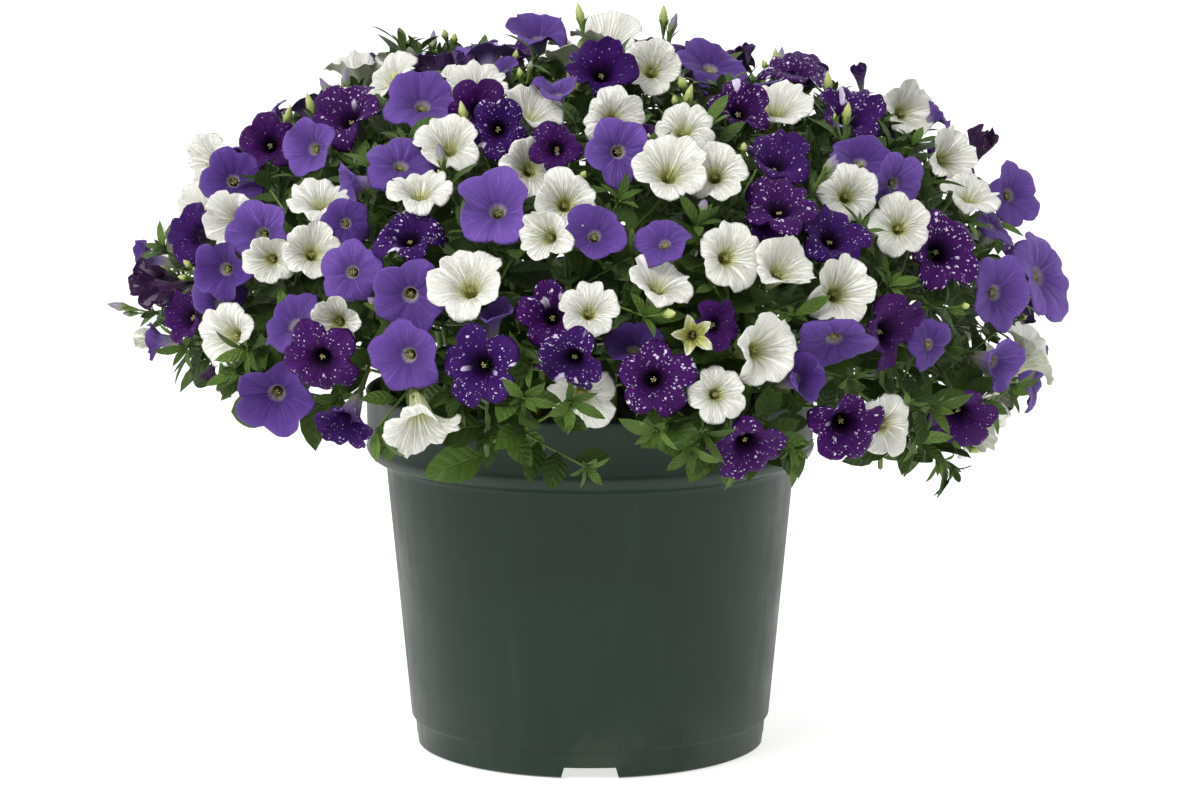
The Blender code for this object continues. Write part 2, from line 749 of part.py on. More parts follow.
class Crowd:
    """Every solid placed so far, for finding what a new one would touch."""

    def __init__(self):
        self.trees, self.nodes, self.lows, self.highs = [], [], [], []
        self.boxes = None

    def add(self, node, points, faces):
        self.trees.append(BVHTree.FromPolygons(points, faces))
        self.nodes.append(node)
        array = np.array([tuple(point) for point in points])
        self.lows.append(array.min(axis=0))
        self.highs.append(array.max(axis=0))
        self.boxes = None

    def touches(self, points, faces, apart_from=()):
        """Whether a solid, with its clearance, meets any placed one that isn't named."""
        grown = swollen(points, faces, CLEARANCE)
        array = np.array([tuple(point) for point in grown])
        if self.boxes is None:
            self.boxes = np.array(self.lows), np.array(self.highs)
        lows, highs = self.boxes
        near = np.all((lows < array.max(axis=0)) & (highs > array.min(axis=0)), axis=1)
        if not near.any():
            return False
        tree = BVHTree.FromPolygons(grown, faces)
        return any(
            self.nodes[index] not in apart_from and bool(tree.overlap(self.trees[index]))
            for index in np.flatnonzero(near)
        )


class Shoot:
    """One node of the plant: its stem and what grows from it."""

    def __init__(self, name, kind, path):
        self.name, self.kind, self.path = name, kind, path
        self.stem = stem_mesh(path)
        self.growths = []
        self.blooms = 0

    def attach_points(self):
        """Places along the stem, above the soil, where a stalk or a leaf can grow."""
        places = []
        for a, b in zip(self.path[2:], self.path[3:]):
            places.extend(a.lerp(b, share) for share in ATTACH_SHARES)
        return places


def make_shoots():
    """Flowering sprays in turn by colour all round, a few up the middle, and leafy shoots between."""
    shoots = []
    count = dict.fromkeys((*KINDS, "leaf"), 0)

    def add(kind, path):
        count[kind] += 1
        family = "leafy_shoot" if kind == "leaf" else f"{kind}_spray"
        shoots.append(Shoot(f"{family}_{count[kind]:02d}", kind, path))

    for index in range(SIDE_SPRAYS):
        azimuth = 2 * math.pi * (index + SIDE_TURN) / SIDE_SPRAYS
        last = math.degrees(edge_polar(azimuth)) - SIDE_SHORT_OF_EDGE
        run = (SIDE_START, (SIDE_START + last) / 2, last)
        turn = index % len(KINDS)
        foot = SIDE_FOOT - SIDE_FOOT_STEP * turn
        depth = SPRAY_DEPTH + SIDE_DEPTH_STEP * (turn - 1)
        add(KINDS[turn], shoot_path(azimuth, foot, run, depth))
    for index in range(TOP_SPRAYS):
        azimuth = 2 * math.pi * (index + TOP_TURN) / TOP_SPRAYS
        depth = SPRAY_DEPTH + TOP_DEPTH_STEP * (index % 2)
        add(KINDS[index % len(KINDS)], shoot_path(azimuth, TOP_FOOT, TOP_RUN, depth))
    for index in range(LEAFY_SHOOTS):
        azimuth = 2 * math.pi * (index + LEAFY_TURN) / LEAFY_SHOOTS
        last = math.degrees(edge_polar(azimuth)) + LEAFY_PAST_EDGE
        add("leaf", shoot_path(azimuth, LEAFY_FOOT, (LEAFY_START, last), LEAFY_DEPTH))
    for index in range(LEAFY_TOPS):
        azimuth = 2 * math.pi * (index / LEAFY_TOPS + LEAFY_TOP_TURN)
        add("leaf", shoot_path(azimuth, LEAFY_TOP_FOOT, LEAFY_TOP_RUN, LEAFY_DEPTH))
    return shoots


def front_blooms():
    """Kind, place, facing and radius of each bloom read in the view."""
    right, up, towards = view_axes()
    ways = {"up": up, "down": up * -1.0, "left": right * -1.0, "right": right}
    for kind, x, y, wide, high, way in FRONT_BLOOMS:
        place = seen_point(x, y)
        normal = mound_normal(place)
        slant = math.acos(min(wide, high) / max(wide, high))
        outward = (normal - towards * normal.dot(towards)).normalized()
        slope = ways[way] if way in ways else outward
        facing = towards * math.cos(slant) + slope * math.sin(slant)
        facing = (facing + normal * LEAN_OUT).normalized()
        radius = max(wide, high) / 2 * VIEW_DISTANCE / VIEW_SCALE
        yield kind, place, facing, min(max(radius, BLOOM_LEAST), BLOOM_MOST)


def spiral_blooms(placed):
    """Places all over the mound, evenly spread, that no bloom holds yet."""
    draw = random.Random(SEED)
    golden = math.pi * (3 - math.sqrt(5))
    for index in range(SPIRAL_POINTS):
        height = 1 - (index + 0.5) / SPIRAL_POINTS * SPIRAL_REACH
        polar = math.acos(height)
        azimuth = (index * golden) % (2 * math.pi)
        if polar > edge_polar(azimuth):
            continue
        place = on_mound(polar, azimuth, draw.uniform(*SPIRAL_DEPTHS))
        if min((place - other).length for other, _ in placed) < BLOOM_SPACING:
            continue
        near = sorted(placed, key=lambda item: (item[0] - place).length)[:3]
        alike = [sum(kind == taken for _, taken in near) for kind in KINDS]
        kind = draw.choices(KINDS, [1.0 / (1 + 2 * count) for count in alike])[0]
        tilt = Vector([draw.uniform(-SPIRAL_TILT, SPIRAL_TILT) for _ in range(3)])
        facing = (mound_normal(place) + Vector((0, 0, SPIRAL_LIFT)) + tilt).normalized()
        yield kind, place, facing, BLOOM_RADIUS * draw.uniform(*SPIRAL_SIZES)


def grow_bloom(shoots, crowd, kind, place, facing, radius, draw):
    """Finds a clear way to hold a bloom near a place. Returns where it came to, or None."""
    normal = mound_normal(place)
    stems = [shoot for shoot in shoots if shoot.kind == kind]
    routes = [(shoot, point) for shoot in stems for point in shoot.attach_points()]
    for depth in BLOOM_DEPTHS:
        for lean, scale in BLOOM_LEANS:
            wobble = Vector([draw.uniform(-lean, lean) for _ in range(3)])
            aim = (facing + wobble).normalized()
            spot = place - normal * depth
            turn = draw.uniform(0, 2 * math.pi / LOBES)
            if crowd.touches(*bloom_mesh(kind, spot, aim, turn, radius * scale)):
                continue
            foot = spot - aim * TUBE_LENGTH
            routes.sort(key=lambda route: (route[1] - foot).length + CROWDED_STEM * route[0].blooms)
            for shoot, root in routes[:ROUTES_TRIED]:
                way = root - foot
                if way.length > LONGEST_STALK or way.normalized().dot(aim) > MOST_TURNED_BACK:
                    continue
                whole = bloom_mesh(kind, spot, aim, turn, radius * scale, root)
                if crowd.touches(*whole, apart_from=(shoot.name,)):
                    continue
                crowd.add(shoot.name + "_growth", *whole)
                shoot.growths.append(whole)
                shoot.blooms += 1
                return spot
    return None


def grow_leaf(shoot, crowd, root, along, draw):
    """Tries a few ways for a leaf to leave the stem, outward and to the sides."""
    outward = mound_normal(root)
    side, _ = across(along, outward)
    for _ in range(LEAF_TRIES):
        swing = draw.uniform(-1.0, 1.0)
        direction = side * swing * LEAF_SWING + outward * draw.uniform(*LEAF_OUTWARD)
        direction.normalize()
        square = direction - along * direction.dot(along)
        direction = (square + along * draw.uniform(*LEAF_FORWARD)).normalized()
        size = draw.uniform(*LEAF_SIZES)
        face_up = (outward + UP * LEAF_FACE_LIFT).normalized()
        if abs(direction.dot(face_up)) > MOST_EDGE_ON:
            continue
        leaf = leaf_mesh(root, direction, face_up, LEAF_LENGTH * size, LEAF_WIDTH * size)
        if crowd.touches(*leaf, apart_from=(shoot.name,)):
            continue
        crowd.add(shoot.name + "_growth", *leaf)
        shoot.growths.append(leaf)
        return True
    return False


def grow_blooms(shoots, crowd):
    """The blooms read in the view, then the rest all round by the spiral's rule."""
    placed = []
    for index, (kind, place, facing, radius) in enumerate(front_blooms()):
        draw = random.Random(f"front {SEED} {index}")
        spot = grow_bloom(shoots, crowd, kind, place, facing, radius, draw)
        if spot is not None:
            placed.append((spot, kind))
    for kind, place, facing, radius in list(spiral_blooms(placed)):
        if len(placed) >= MOST_BLOOMS:
            break
        if min((place - other).length for other, _ in placed) < BLOOM_SPACING:
            continue
        draw = random.Random(f"round {SEED} {len(placed)}")
        spot = grow_bloom(shoots, crowd, kind, place, facing, radius, draw)
        if spot is not None:
            placed.append((spot, kind))


def grow_leaves(shoots, crowd):
    """Leaves at even steps along each stem, closer on the leafy shoots, which come first."""
    leaves = 0
    for shoot in sorted(shoots, key=lambda one: one.kind != "leaf"):
        draw = random.Random(f"leaf {SEED} {shoot.name}")
        share = LEAFY_SPACING_SHARE if shoot.kind == "leaf" else SPRAY_SPACING_SHARE
        spacing = LEAF_SPACING * share
        walked = 0.0
        for a, b in zip(shoot.path[2:], shoot.path[3:]):
            gap = (b - a).length
            while walked < gap and leaves < MOST_LEAVES:
                root = a.lerp(b, walked / gap)
                leaves += grow_leaf(shoot, crowd, root, (b - a).normalized(), draw)
                walked += spacing
            walked -= gap


def grow_all(crowd):
    shoots = make_shoots()
    for shoot in shoots:
        crowd.add(shoot.name, *shoot.stem)
    grow_blooms(shoots, crowd)
    grow_leaves(shoots, crowd)
    return shoots


def build_shoot(shoot, home, surface):
    """The shoot's node: its stem and growths joined by one Boolean union."""
    obj = mesh_object(shoot.name, *shoot.stem, home)
    if shoot.growths:
        growths = collection(shoot.name + "_growths", hidden=True)
        for index, growth in enumerate(shoot.growths):
            mesh_object(f"growth_{index}", *growth, growths)
        boolean(obj, "UNION", growths, solver="MANIFOLD")
        remove_collection(growths)
    obj.data.materials.clear()
    obj.data.materials.append(surface)
    return obj


def main():
    clear_scene()
    parts = collection("potted_petunias")
    surfaces = {name: material(name) for name in COLOURS}
    pot = make_pot(parts)
    pot.data.materials.append(surfaces["pot"])
    crowd = Crowd()
    corners = [vertex.co.copy() for vertex in pot.data.vertices]
    crowd.add("pot", corners, [tuple(face.vertices) for face in pot.data.polygons])
    shoots = grow_all(crowd)
    soil = make_soil([shoot.path[0] for shoot in shoots], parts)
    soil.data.materials.append(surfaces["soil"])
    for shoot in shoots:
        build_shoot(shoot, parts, surfaces[shoot.kind])


main()
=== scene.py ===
"""Potted petunia plants, dressed: fine blooms, leaves, stems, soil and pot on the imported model's frame.

Laid out as a Blender add-on and run as a script. Metres, +Z up, the viewer on the -Y side.
"""

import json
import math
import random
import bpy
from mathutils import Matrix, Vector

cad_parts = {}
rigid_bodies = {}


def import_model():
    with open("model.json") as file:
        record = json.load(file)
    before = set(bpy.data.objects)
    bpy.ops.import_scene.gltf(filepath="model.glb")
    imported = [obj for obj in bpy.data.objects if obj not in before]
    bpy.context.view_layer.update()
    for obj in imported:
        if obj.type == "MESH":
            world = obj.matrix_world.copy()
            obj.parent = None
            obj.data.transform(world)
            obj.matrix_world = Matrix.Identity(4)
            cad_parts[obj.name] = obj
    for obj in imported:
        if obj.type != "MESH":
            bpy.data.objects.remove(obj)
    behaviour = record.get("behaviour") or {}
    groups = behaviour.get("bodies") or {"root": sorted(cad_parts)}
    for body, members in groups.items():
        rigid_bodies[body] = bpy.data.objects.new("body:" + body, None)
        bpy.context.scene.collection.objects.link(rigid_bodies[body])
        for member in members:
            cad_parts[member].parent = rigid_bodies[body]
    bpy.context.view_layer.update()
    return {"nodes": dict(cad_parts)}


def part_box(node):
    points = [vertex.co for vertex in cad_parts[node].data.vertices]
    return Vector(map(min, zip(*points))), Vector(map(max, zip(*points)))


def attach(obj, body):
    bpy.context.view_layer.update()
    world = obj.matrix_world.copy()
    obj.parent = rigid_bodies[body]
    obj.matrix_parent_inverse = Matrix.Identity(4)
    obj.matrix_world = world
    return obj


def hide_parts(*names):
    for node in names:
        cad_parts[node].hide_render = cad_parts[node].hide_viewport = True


bl_info = {
    "name": "Potted petunia plants",
    "version": (1, 0, 0),
    "blender": (4, 5, 0),
    "location": "3D View > Sidebar > Petunias",
    "description": "Petunias in three colours in a green plastic pot, with their soil, light and camera",
    "category": "Object",
}

from collections import namedtuple

import bmesh
import bpy
import numpy as np
from bpy.props import FloatProperty, FloatVectorProperty, IntProperty, PointerProperty
from mathutils import Vector
from mathutils.bvhtree import BVHTree

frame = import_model()
BODY = "root"
MOST_APART = 0.0005

# Pot
POT_HEIGHT = 0.246
RIM_RADIUS = 0.1525
RIM_BAND_FOOT = 0.197
BODY_TOP_RADIUS = 0.1390
BODY_FOOT_RADIUS = 0.1228
BASE_RING_HEIGHT = 0.0185
BASE_RING_RADIUS = 0.1205
FOOT_RADIUS = 0.1160
FOOT_WIDTH = 0.0085
FLOOR_UNDERSIDE = 0.0100
WALL = 0.0026
RIM_TAPER = 0.0010
LEDGE_REACH = 0.0040
LEDGE_HEIGHT = 0.2010
INNER_WALL_TOP = 0.1940
WALL_FOOT = 0.0210
FLOOR_CORNER = 0.0040
NOTCH_HEIGHT = 0.0080
NOTCH_WIDTH = 0.0430
NOTCH_NARROWING = 0.80
NOTCH_REACH = 0.0300
DRAIN_RADIUS = 0.0070
DRAIN_CIRCLE = 0.0900
DRAIN_SIDES = 24
DRAIN_CUT = 0.0200
NOTCHES = 4

# The pot's outside from its lip down: how far each corner lies outside a radius, and its height
RIM_SECTION = (
    (-0.0022, POT_HEIGHT), (-0.0012, POT_HEIGHT), (-0.0002, POT_HEIGHT - 0.0006),
    (0.0003, POT_HEIGHT - 0.0018), (-0.0002, POT_HEIGHT - 0.0045), (-0.0008, 0.2105),
    (-0.0004, 0.2085), (0.0001, 0.2068), (-0.0003, 0.2050), (-0.0018, 0.2020),
    (-0.0038, 0.2000), (-0.0062, 0.1985),
)
SHOULDER_SECTION = ((0.0034, 0.1972), (0.0015, 0.1962), (0.0005, 0.1948), (0.0, 0.1925))
WALL_FOOT_SECTION = ((0.0, WALL_FOOT), (-0.0006, 0.0200))
BASE_SECTION = (
    (0.0004, BASE_RING_HEIGHT + 0.0008), (-0.0004, BASE_RING_HEIGHT - 0.0006), (-0.0015, 0.0040),
)
FOOT_SECTION = ((0.0026, 0.0016), (0.0006, 0.0006), (-0.0010, 0.0))
DUSTY_HEIGHT = 0.2055

# Soil
SEAT_GAP = 0.0004
SOIL_EDGE_HEIGHT = 0.2190
SOIL_CROWN_HEIGHT = 0.2260
SOIL_FLAT_RADIUS = 0.0850
SOIL_FLAT_DROP = 0.0010
STEM_SINK = 0.0350

# Mound of blooms: how far its surface lies from its centre, by the angle from straight up
MOUND_CENTRE = Vector((0.0, 0.0, 0.262))
MOUND_REACH = (
    (0, 0.222),
    (20, 0.226),
    (35, 0.240),
    (50, 0.268),
    (62, 0.290),
    (75, 0.304),
    (88, 0.304),
    (100, 0.286),
    (112, 0.262),
)
WAVE = 0.0060
SMALL_WAVE_SHARE = 0.7
WAVE_COUNTS = (3, 5)
WAVE_TURNS = (0.7, 2.1)
RIGHT_DRAWN_IN = 0.0040
BACK_SWELL = 0.0070
EDGE_POLAR = math.radians(95)
EDGE_RIGHT = math.radians(6)
EDGE_BACK = math.radians(4)
NORMAL_STEP = 0.03

# Shoots
STEM_RADIUS = 0.0023
STEM_TIP_RADIUS = 0.0017
STEM_SIDES = 3
STEM_STEPS = 6
STALK_RADIUS = 0.0011
STALK_ROOT_RADIUS = 0.0008
STALK_SIDES = 3
STALK_BENT_LENGTH = 0.085
STALK_STRAIGHT = 0.35
LONGEST_STALK = 0.150
STALK_BEND = 0.42
CLEARANCE = 0.0004
STEM_RISE = 0.012
PATH_FINENESS = 12
ATTACH_SHARES = (0.1, 0.35, 0.6, 0.85)
SIDE_SPRAYS = 24
TOP_SPRAYS = 6
LEAFY_SHOOTS = 10
LEAFY_TOPS = 3
SPRAY_DEPTH = 0.072
SIDE_DEPTH_STEP = 0.006
TOP_DEPTH_STEP = 0.010
LEAFY_DEPTH = 0.042
SIDE_FOOT = 0.118
SIDE_FOOT_STEP = 0.018
TOP_FOOT = 0.050
LEAFY_FOOT = 0.128
LEAFY_TOP_FOOT = 0.064

# Where a shoot runs over the mound, in degrees from straight up, and by what share of a space it is turned
SIDE_START = 46
SIDE_SHORT_OF_EDGE = 2
TOP_RUN = (14, 30)
LEAFY_START = 66
LEAFY_PAST_EDGE = 5
LEAFY_TOP_RUN = (18, 34)
SIDE_TURN = 0.5
TOP_TURN = 0.25
LEAFY_TURN = 0.1
LEAFY_TOP_TURN = 0.5

# Blooms and leaves
BLOOM_RADIUS = 0.0245
BLOOM_LEAST = 0.0185
BLOOM_MOST = 0.0260
TUBE_LENGTH = 0.0270
TUBE_RADIUS = 0.0042
CALYX_RADIUS = 0.0017
LOBES = 5
NOTCH_SHARE = {"white": 0.84, "violet": 0.83, "speckled": 0.76}
TIP_LIFT = -0.10
NOTCH_LIFT = -0.02
PIT_DEPTH = 0.36
NECK_DEPTH = 0.56
BLOOM_SPACING = 0.0465
GOLDEN_ANGLE = math.pi * (3 - math.sqrt(5))
SPIRAL_POINTS = 620
SPIRAL_REACH = 1.22
SPIRAL_DEPTHS = (-0.004, 0.012)
SPIRAL_SIZES = (0.90, 1.05)
SPIRAL_TILT = 0.45
SPIRAL_LIFT = 0.22
MOST_BLOOMS = 186
BLOOM_DEPTHS = (0.0, 0.008, -0.006, 0.016, -0.012, 0.026)
BLOOM_LEANS = ((0.0, 1.0), (0.25, 1.0), (0.25, 0.92), (0.45, 0.86))
ROUTES_TRIED = 26
CROWDED_STEM = 0.012
MOST_TURNED_BACK = 0.15
LEAN_OUT = 0.35
LEAF_LENGTH = 0.0460
LEAF_WIDTH = 0.0270
LEAF_THICKNESS = 0.0012
LEAF_SPACING = 0.0300
LEAFY_SPACING_SHARE = 0.6
SPRAY_SPACING_SHARE = 1.6
LEAF_ROOT_SHARE = 0.6
LEAF_SIZES = (0.75, 1.1)
LEAF_TRIES = 7
LEAF_SWING = 1.6
LEAF_OUTWARD = (0.1, 1.0)
LEAF_FORWARD = (-0.1, 0.35)
LEAF_FACE_LIFT = 0.5
MOST_EDGE_ON = 0.95
MOST_LEAVES = 125
SEED = 7

# A leaf's edge and rib: share of its length, share of its half width, and rise as a share of its length
LEAF_EDGE = ((0.42, 1.0, 0.10), (0.74, 0.74, 0.07))
LEAF_TIP_RISE = -0.06
LEAF_RIB = (0.52, 0.04)

# How the plant is seen: the places of its front blooms are read in this view
VIEW_DISTANCE = 3.000
VIEW_ELEVATION = math.radians(9.0)
VIEW_POINT = Vector((0.0067, 0.0, 0.2363))
VIEW_SCALE = 4367.0
VIEW_CENTRE_X = 600
VIEW_CENTRE_Y = 400
SIGHT_START = 0.4
SIGHT_STEP = 0.003
SIGHT_STEPS = 200
SIGHT_SLACK = 1.03

# Front blooms: colour, place and size in the view, and the way it faces where it isn't outward
FRONT_BLOOMS = (
    ("speckled", 347, 115, 69, 79, "out"),
    ("violet", 711, 66, 69, 52, "up"),
    ("white", 670, 171, 69, 66, "out"),
    ("violet", 498, 209, 72, 60, "out"),
    ("speckled", 480, 366, 69, 71, "out"),
    ("speckled", 940, 250, 74, 76, "out"),
    ("white", 449, 145, 61, 58, "out"),
    ("speckled", 409, 234, 69, 53, "up"),
    ("violet", 594, 235, 61, 69, "out"),
    ("white", 838, 292, 64, 66, "out"),
    ("speckled", 655, 379, 66, 66, "out"),
    ("white", 762, 349, 56, 69, "out"),
    ("violet", 996, 294, 61, 74, "right"),
    ("speckled", 843, 425, 71, 69, "out"),
    ("violet", 408, 356, 64, 66, "out"),
    ("white", 717, 394, 61, 66, "out"),
    ("violet", 263, 235, 64, 64, "out"),
    ("white", 339, 322, 54, 54, "out"),
    ("speckled", 332, 363, 76, 51, "down"),
    ("speckled", 848, 117, 69, 54, "up"),
    ("violet", 424, 104, 71, 52, "up"),
    ("speckled", 601, 71, 64, 60, "out"),
    ("white", 776, 107, 64, 52, "up"),
    ("white", 469, 284, 69, 46, "up"),
    ("white", 589, 310, 51, 61, "out"),
    ("speckled", 550, 310, 59, 54, "out"),
    ("speckled", 571, 363, 69, 56, "down"),
    ("speckled", 716, 325, 61, 69, "right"),
    ("violet", 663, 242, 66, 55, "up"),
    ("speckled", 833, 236, 69, 59, "out"),
    ("violet", 619, 153, 64, 64, "out"),
    ("speckled", 889, 333, 56, 74, "right"),
    ("white", 424, 425, 69, 59, "down"),
    ("white", 651, 69, 51, 51, "up"),
    ("violet", 538, 38, 61, 30, "up"),
    ("violet", 403, 163, 69, 48, "up"),
    ("white", 683, 127, 56, 50, "up"),
    ("speckled", 270, 143, 56, 56, "left"),
    ("white", 209, 163, 38, 46, "left"),
    ("violet", 235, 181, 44, 44, "left"),
    ("violet", 314, 150, 44, 50, "left"),
    ("speckled", 556, 148, 61, 61, "out"),
    ("violet", 558, 94, 59, 35, "up"),
    ("white", 321, 199, 56, 34, "up"),
    ("violet", 347, 224, 54, 54, "out"),
    ("white", 424, 196, 61, 30, "up"),
    ("white", 235, 222, 48, 50, "left"),
    ("speckled", 196, 235, 40, 56, "left"),
    ("white", 314, 252, 46, 46, "out"),
    ("speckled", 296, 265, 44, 52, "left"),
    ("violet", 227, 270, 50, 50, "left"),
    ("violet", 352, 272, 54, 46, "out"),
    ("violet", 411, 297, 69, 46, "down"),
    ("white", 230, 335, 51, 61, "left"),
    ("violet", 293, 322, 42, 72, "left"),
    ("white", 660, 282, 66, 45, "up"),
    ("white", 731, 257, 46, 64, "right"),
    ("white", 782, 269, 64, 54, "out"),
    ("speckled", 779, 204, 69, 51, "up"),
    ("speckled", 774, 160, 69, 46, "up"),
    ("white", 904, 112, 48, 52, "right"),
    ("white", 945, 158, 44, 52, "right"),
    ("white", 968, 194, 56, 36, "up"),
    ("violet", 1035, 186, 61, 52, "right"),
    ("violet", 991, 224, 69, 42, "up"),
    ("violet", 1042, 275, 50, 72, "right"),
    ("white", 897, 227, 51, 51, "right"),
    ("violet", 859, 160, 56, 40, "up"),
    ("violet", 833, 345, 71, 42, "down"),
    ("violet", 930, 345, 52, 66, "right"),
    ("violet", 994, 363, 61, 54, "right"),
    ("violet", 1035, 379, 40, 72, "right"),
    ("speckled", 958, 419, 69, 59, "down"),
    ("speckled", 747, 448, 69, 45, "down"),
    ("white", 579, 404, 64, 46, "down"),
    ("speckled", 350, 419, 50, 54, "left"),
    ("violet", 637, 345, 66, 38, "up"),
    ("white", 547, 241, 40, 50, "left"),
    ("white", 566, 204, 48, 48, "up"),
    ("violet", 487, 315, 54, 44, "left"),
    ("speckled", 457, 320, 48, 48, "out"),
    ("white", 273, 260, 46, 46, "left"),
    ("violet", 357, 186, 44, 52, "left"),
    ("white", 530, 102, 46, 44, "up"),
    ("speckled", 497, 130, 46, 46, "out"),
    ("white", 612, 120, 46, 46, "up"),
    ("speckled", 477, 110, 44, 44, "up"),
    ("white", 714, 173, 48, 48, "out"),
    ("speckled", 739, 110, 48, 46, "up"),
    ("violet", 894, 186, 40, 58, "right"),
    ("white", 846, 194, 50, 48, "out"),
    ("speckled", 774, 237, 52, 46, "out"),
    ("white", 530, 148, 46, 44, "out"),
    ("white", 477, 89, 46, 42, "up"),
    ("violet", 802, 379, 44, 50, "right"),
    ("white", 887, 425, 44, 52, "right"),
    ("violet", 209, 302, 42, 46, "left"),
    ("speckled", 637, 120, 46, 44, "up"),
    ("speckled", 163, 284, 44, 50, "left"),
)

KINDS = ("white", "violet", "speckled")
SPARE_SIDE = Vector((0.3, 0.9, 0.2))
UP = Vector((0.0, 0.0, 1.0))
HINT = (0.31, 0.17, 0.93)
TIP_HINT = Vector((0.2, 0.1, 0.9))

# Fine shapes
LOBE_STEPS = 10
EDGE_FADE = (0.30, 1.0)
PETAL_SKIN = 0.020
LEAF_ROWS = 8
LEAF_STALK = 0.10
LEAF_STALK_WIDTH = 0.07
BLADE_SKIN = 0.00035
BLADE_TWIST = (-0.35, 0.35)
BLADE_DROOP = (-0.02, 0.12)
BLADE_BEND = (-0.06, 0.06)
BLADE_FOLD = (0.05, 0.13)
BLADE_WAVE = (0.0, 0.020)
LEAF_COLUMNS = 6
TUBE_SIDES = 8
FINE_TUBE_RINGS = 10
FINE_STEM_STEPS = 26
JOINT_STEPS = 4
JOINT_SWELL = 0.16
WITHIN_STEM = 0.97

# The limb's height over its share of the radius, both in radii, from the edge in to the throat's floor
LIMB = {
    "white": (
        (1.00, -0.085), (0.94, -0.045), (0.86, -0.018), (0.76, -0.010), (0.64, -0.028), (0.52, -0.075),
        (0.41, -0.145), (0.31, -0.235), (0.23, -0.340), (0.17, -0.470), (0.13, -0.620), (0.11, -0.800),
    ),
    "violet": (
        (1.00, -0.090), (0.94, -0.048), (0.86, -0.022), (0.76, -0.006), (0.64, -0.006), (0.52, -0.020),
        (0.40, -0.050), (0.29, -0.100), (0.20, -0.170), (0.145, -0.270), (0.115, -0.420), (0.10, -0.700),
    ),
    "speckled": (
        (1.00, -0.095), (0.94, -0.045), (0.86, -0.016), (0.76, -0.004), (0.64, -0.014), (0.52, -0.050),
        (0.40, -0.120), (0.30, -0.215), (0.22, -0.330), (0.165, -0.470), (0.13, -0.640), (0.11, -0.820),
    ),
}
OUTSIDE = (0.97, 0.88, 0.74, 0.56, 0.41, 0.31)
TUBE_WALL = ((0.235, -0.42), (0.195, -0.60), (0.160, -0.80), (0.105, -1.00))
FINE_NOTCH = {"white": 0.79, "violet": 0.80, "speckled": 0.70}
NOTCH_POWER = {"white": 3.4, "violet": 1.9, "speckled": 2.5}
STAR_NOTCH = 0.46
STAR_PALE = 0.34
LOBE_SIZES = (0.91, 1.05)
LOBE_SKEW = 0.030
RUFFLE_SPREAD = (0.6, 1.5)
WILTED_RUFFLE = 2.4
SADDLE = (0.03, 0.13)

# Height and half width of the point or dent at a lobe's tip and of its creases, as shares of the radius
# and of half a lobe
VIOLET_POINT = (0.028, 0.13)
WHITE_DENT = (0.022, 0.10)
MIDDLE_CREASE = (0.030, 0.12)
SEAM_CREASE = (0.075, 0.20)
LOBE_BEND = {"white": (-0.26, 0.12), "violet": (-0.20, 0.12), "speckled": (-0.24, 0.10)}
FOLDED_BACK = (0.14, 0.42)
FOLDED_SHARE = 0.55
SAG = (-0.02, 0.20)
CUP = {"white": (0.0, 0.24), "violet": (-0.05, 0.15), "speckled": (-0.05, 0.15)}
HALVES_FOLDED = (0.0, 0.0, 0.0, 0.20, 0.34, -0.26)
CLOSING_RISE = 0.85
MOST_RISE = 1.05
SHORTENING = 0.62
TILT = 0.16
ANTHER_RING = 0.00135
ANTHER_STEP = 0.0008
ANTHER_SIZE = (0.0019, 0.0013)
STIGMA_SIZE = (0.0024, 0.0015)
SEPAL_LENGTHS = (0.010, 0.0145)
SEPAL_WIDTH = 0.0030
SEPAL = ("sepal", 4, 2)
BUD_SEPAL_WIDTH = 0.0024
BUD_OPENS = 0.014
HAIR_LENGTH = 0.0011
HAIR_WIDTH = 0.00009
STALK_HAIRS = 900
STEM_HAIRS = 160

# A bloom's form: how far closed, wilted or not, half-open as a star, its radius kept as given,
# its size, its tint and the way it faces in the view
FORM_DEFAULTS = (0.0, False, False, False, 1.0, None, None)
Form = namedtuple("Form", "closed wilted star small size tint way", defaults=FORM_DEFAULTS)
Petals = namedtuple("Petals", "points faces places facing radius lot")
OPEN_FORM = Form()
FINE_SCALE = 1.10
FINE_LEAST = 0.0222
FINE_MOST = 0.0275
FINE_SPREAD = (0.97, 1.03)
RUFFLE = {"white": 0.040, "violet": 0.022, "speckled": 0.032}

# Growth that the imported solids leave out
GAP_POINTS = 1500
GAP_SPACING = 0.0290
GAP_EDGE = math.radians(4)
GAP_REACH = 1.36
GAP_START = 0.4
GAP_DEPTHS = (0.006, 0.028)
TWIG_RADIUS = 0.0010
LONGEST_TWIG = 0.130
TWIG_HAIRS = 24
TWIG_ROUTES = 16
CROWDED_TWIG = 0.010
LONG_TWIG = 0.05
LONG_TWIG_SHARES = (0.30, 0.48, 0.64, 0.78, 0.90)
SHORT_TWIG_SHARES = (0.35, 0.6, 0.85)
STALK_LEAF_SHARES = (0.25, 0.45, 0.62)
TWIG_LEAF = 0.047
SHOOT_LEAF = 0.050
SPRAY_LEAF = 0.056
STALK_LEAF = 0.036
LEAF_TURN = 2.4
SMALL_LEAF_WIDTHS = (0.44, 0.60)
YOUNG_LEAF_WIDTHS = (0.22, 0.36)
TESTED_WIDTH = 0.9
TESTED_LENGTH = 0.96
SMALL_LEAF_EDGE_ON = 0.96
LEAF_WAYS = 5
LEAF_WAY_STEP = 1.3
LEAVES_BY_BUDS = 4
LEAVES_AT_TIP = 7
BUD_COUNTS = (1, 2, 2, 3)
BUD_CLEARANCE = 0.0028
BUD_STALKS = (0.006, 0.016)
BUD_LENGTHS = (0.007, 0.010, 0.014, 0.021)
SMALL_LEAF_GRID = (5, 4)
TWIG_LEAF_GRID = (6, 4)
YOUNG_LEAF_GRID = (5, 2)
CLEAR_OF_POT = 0.035
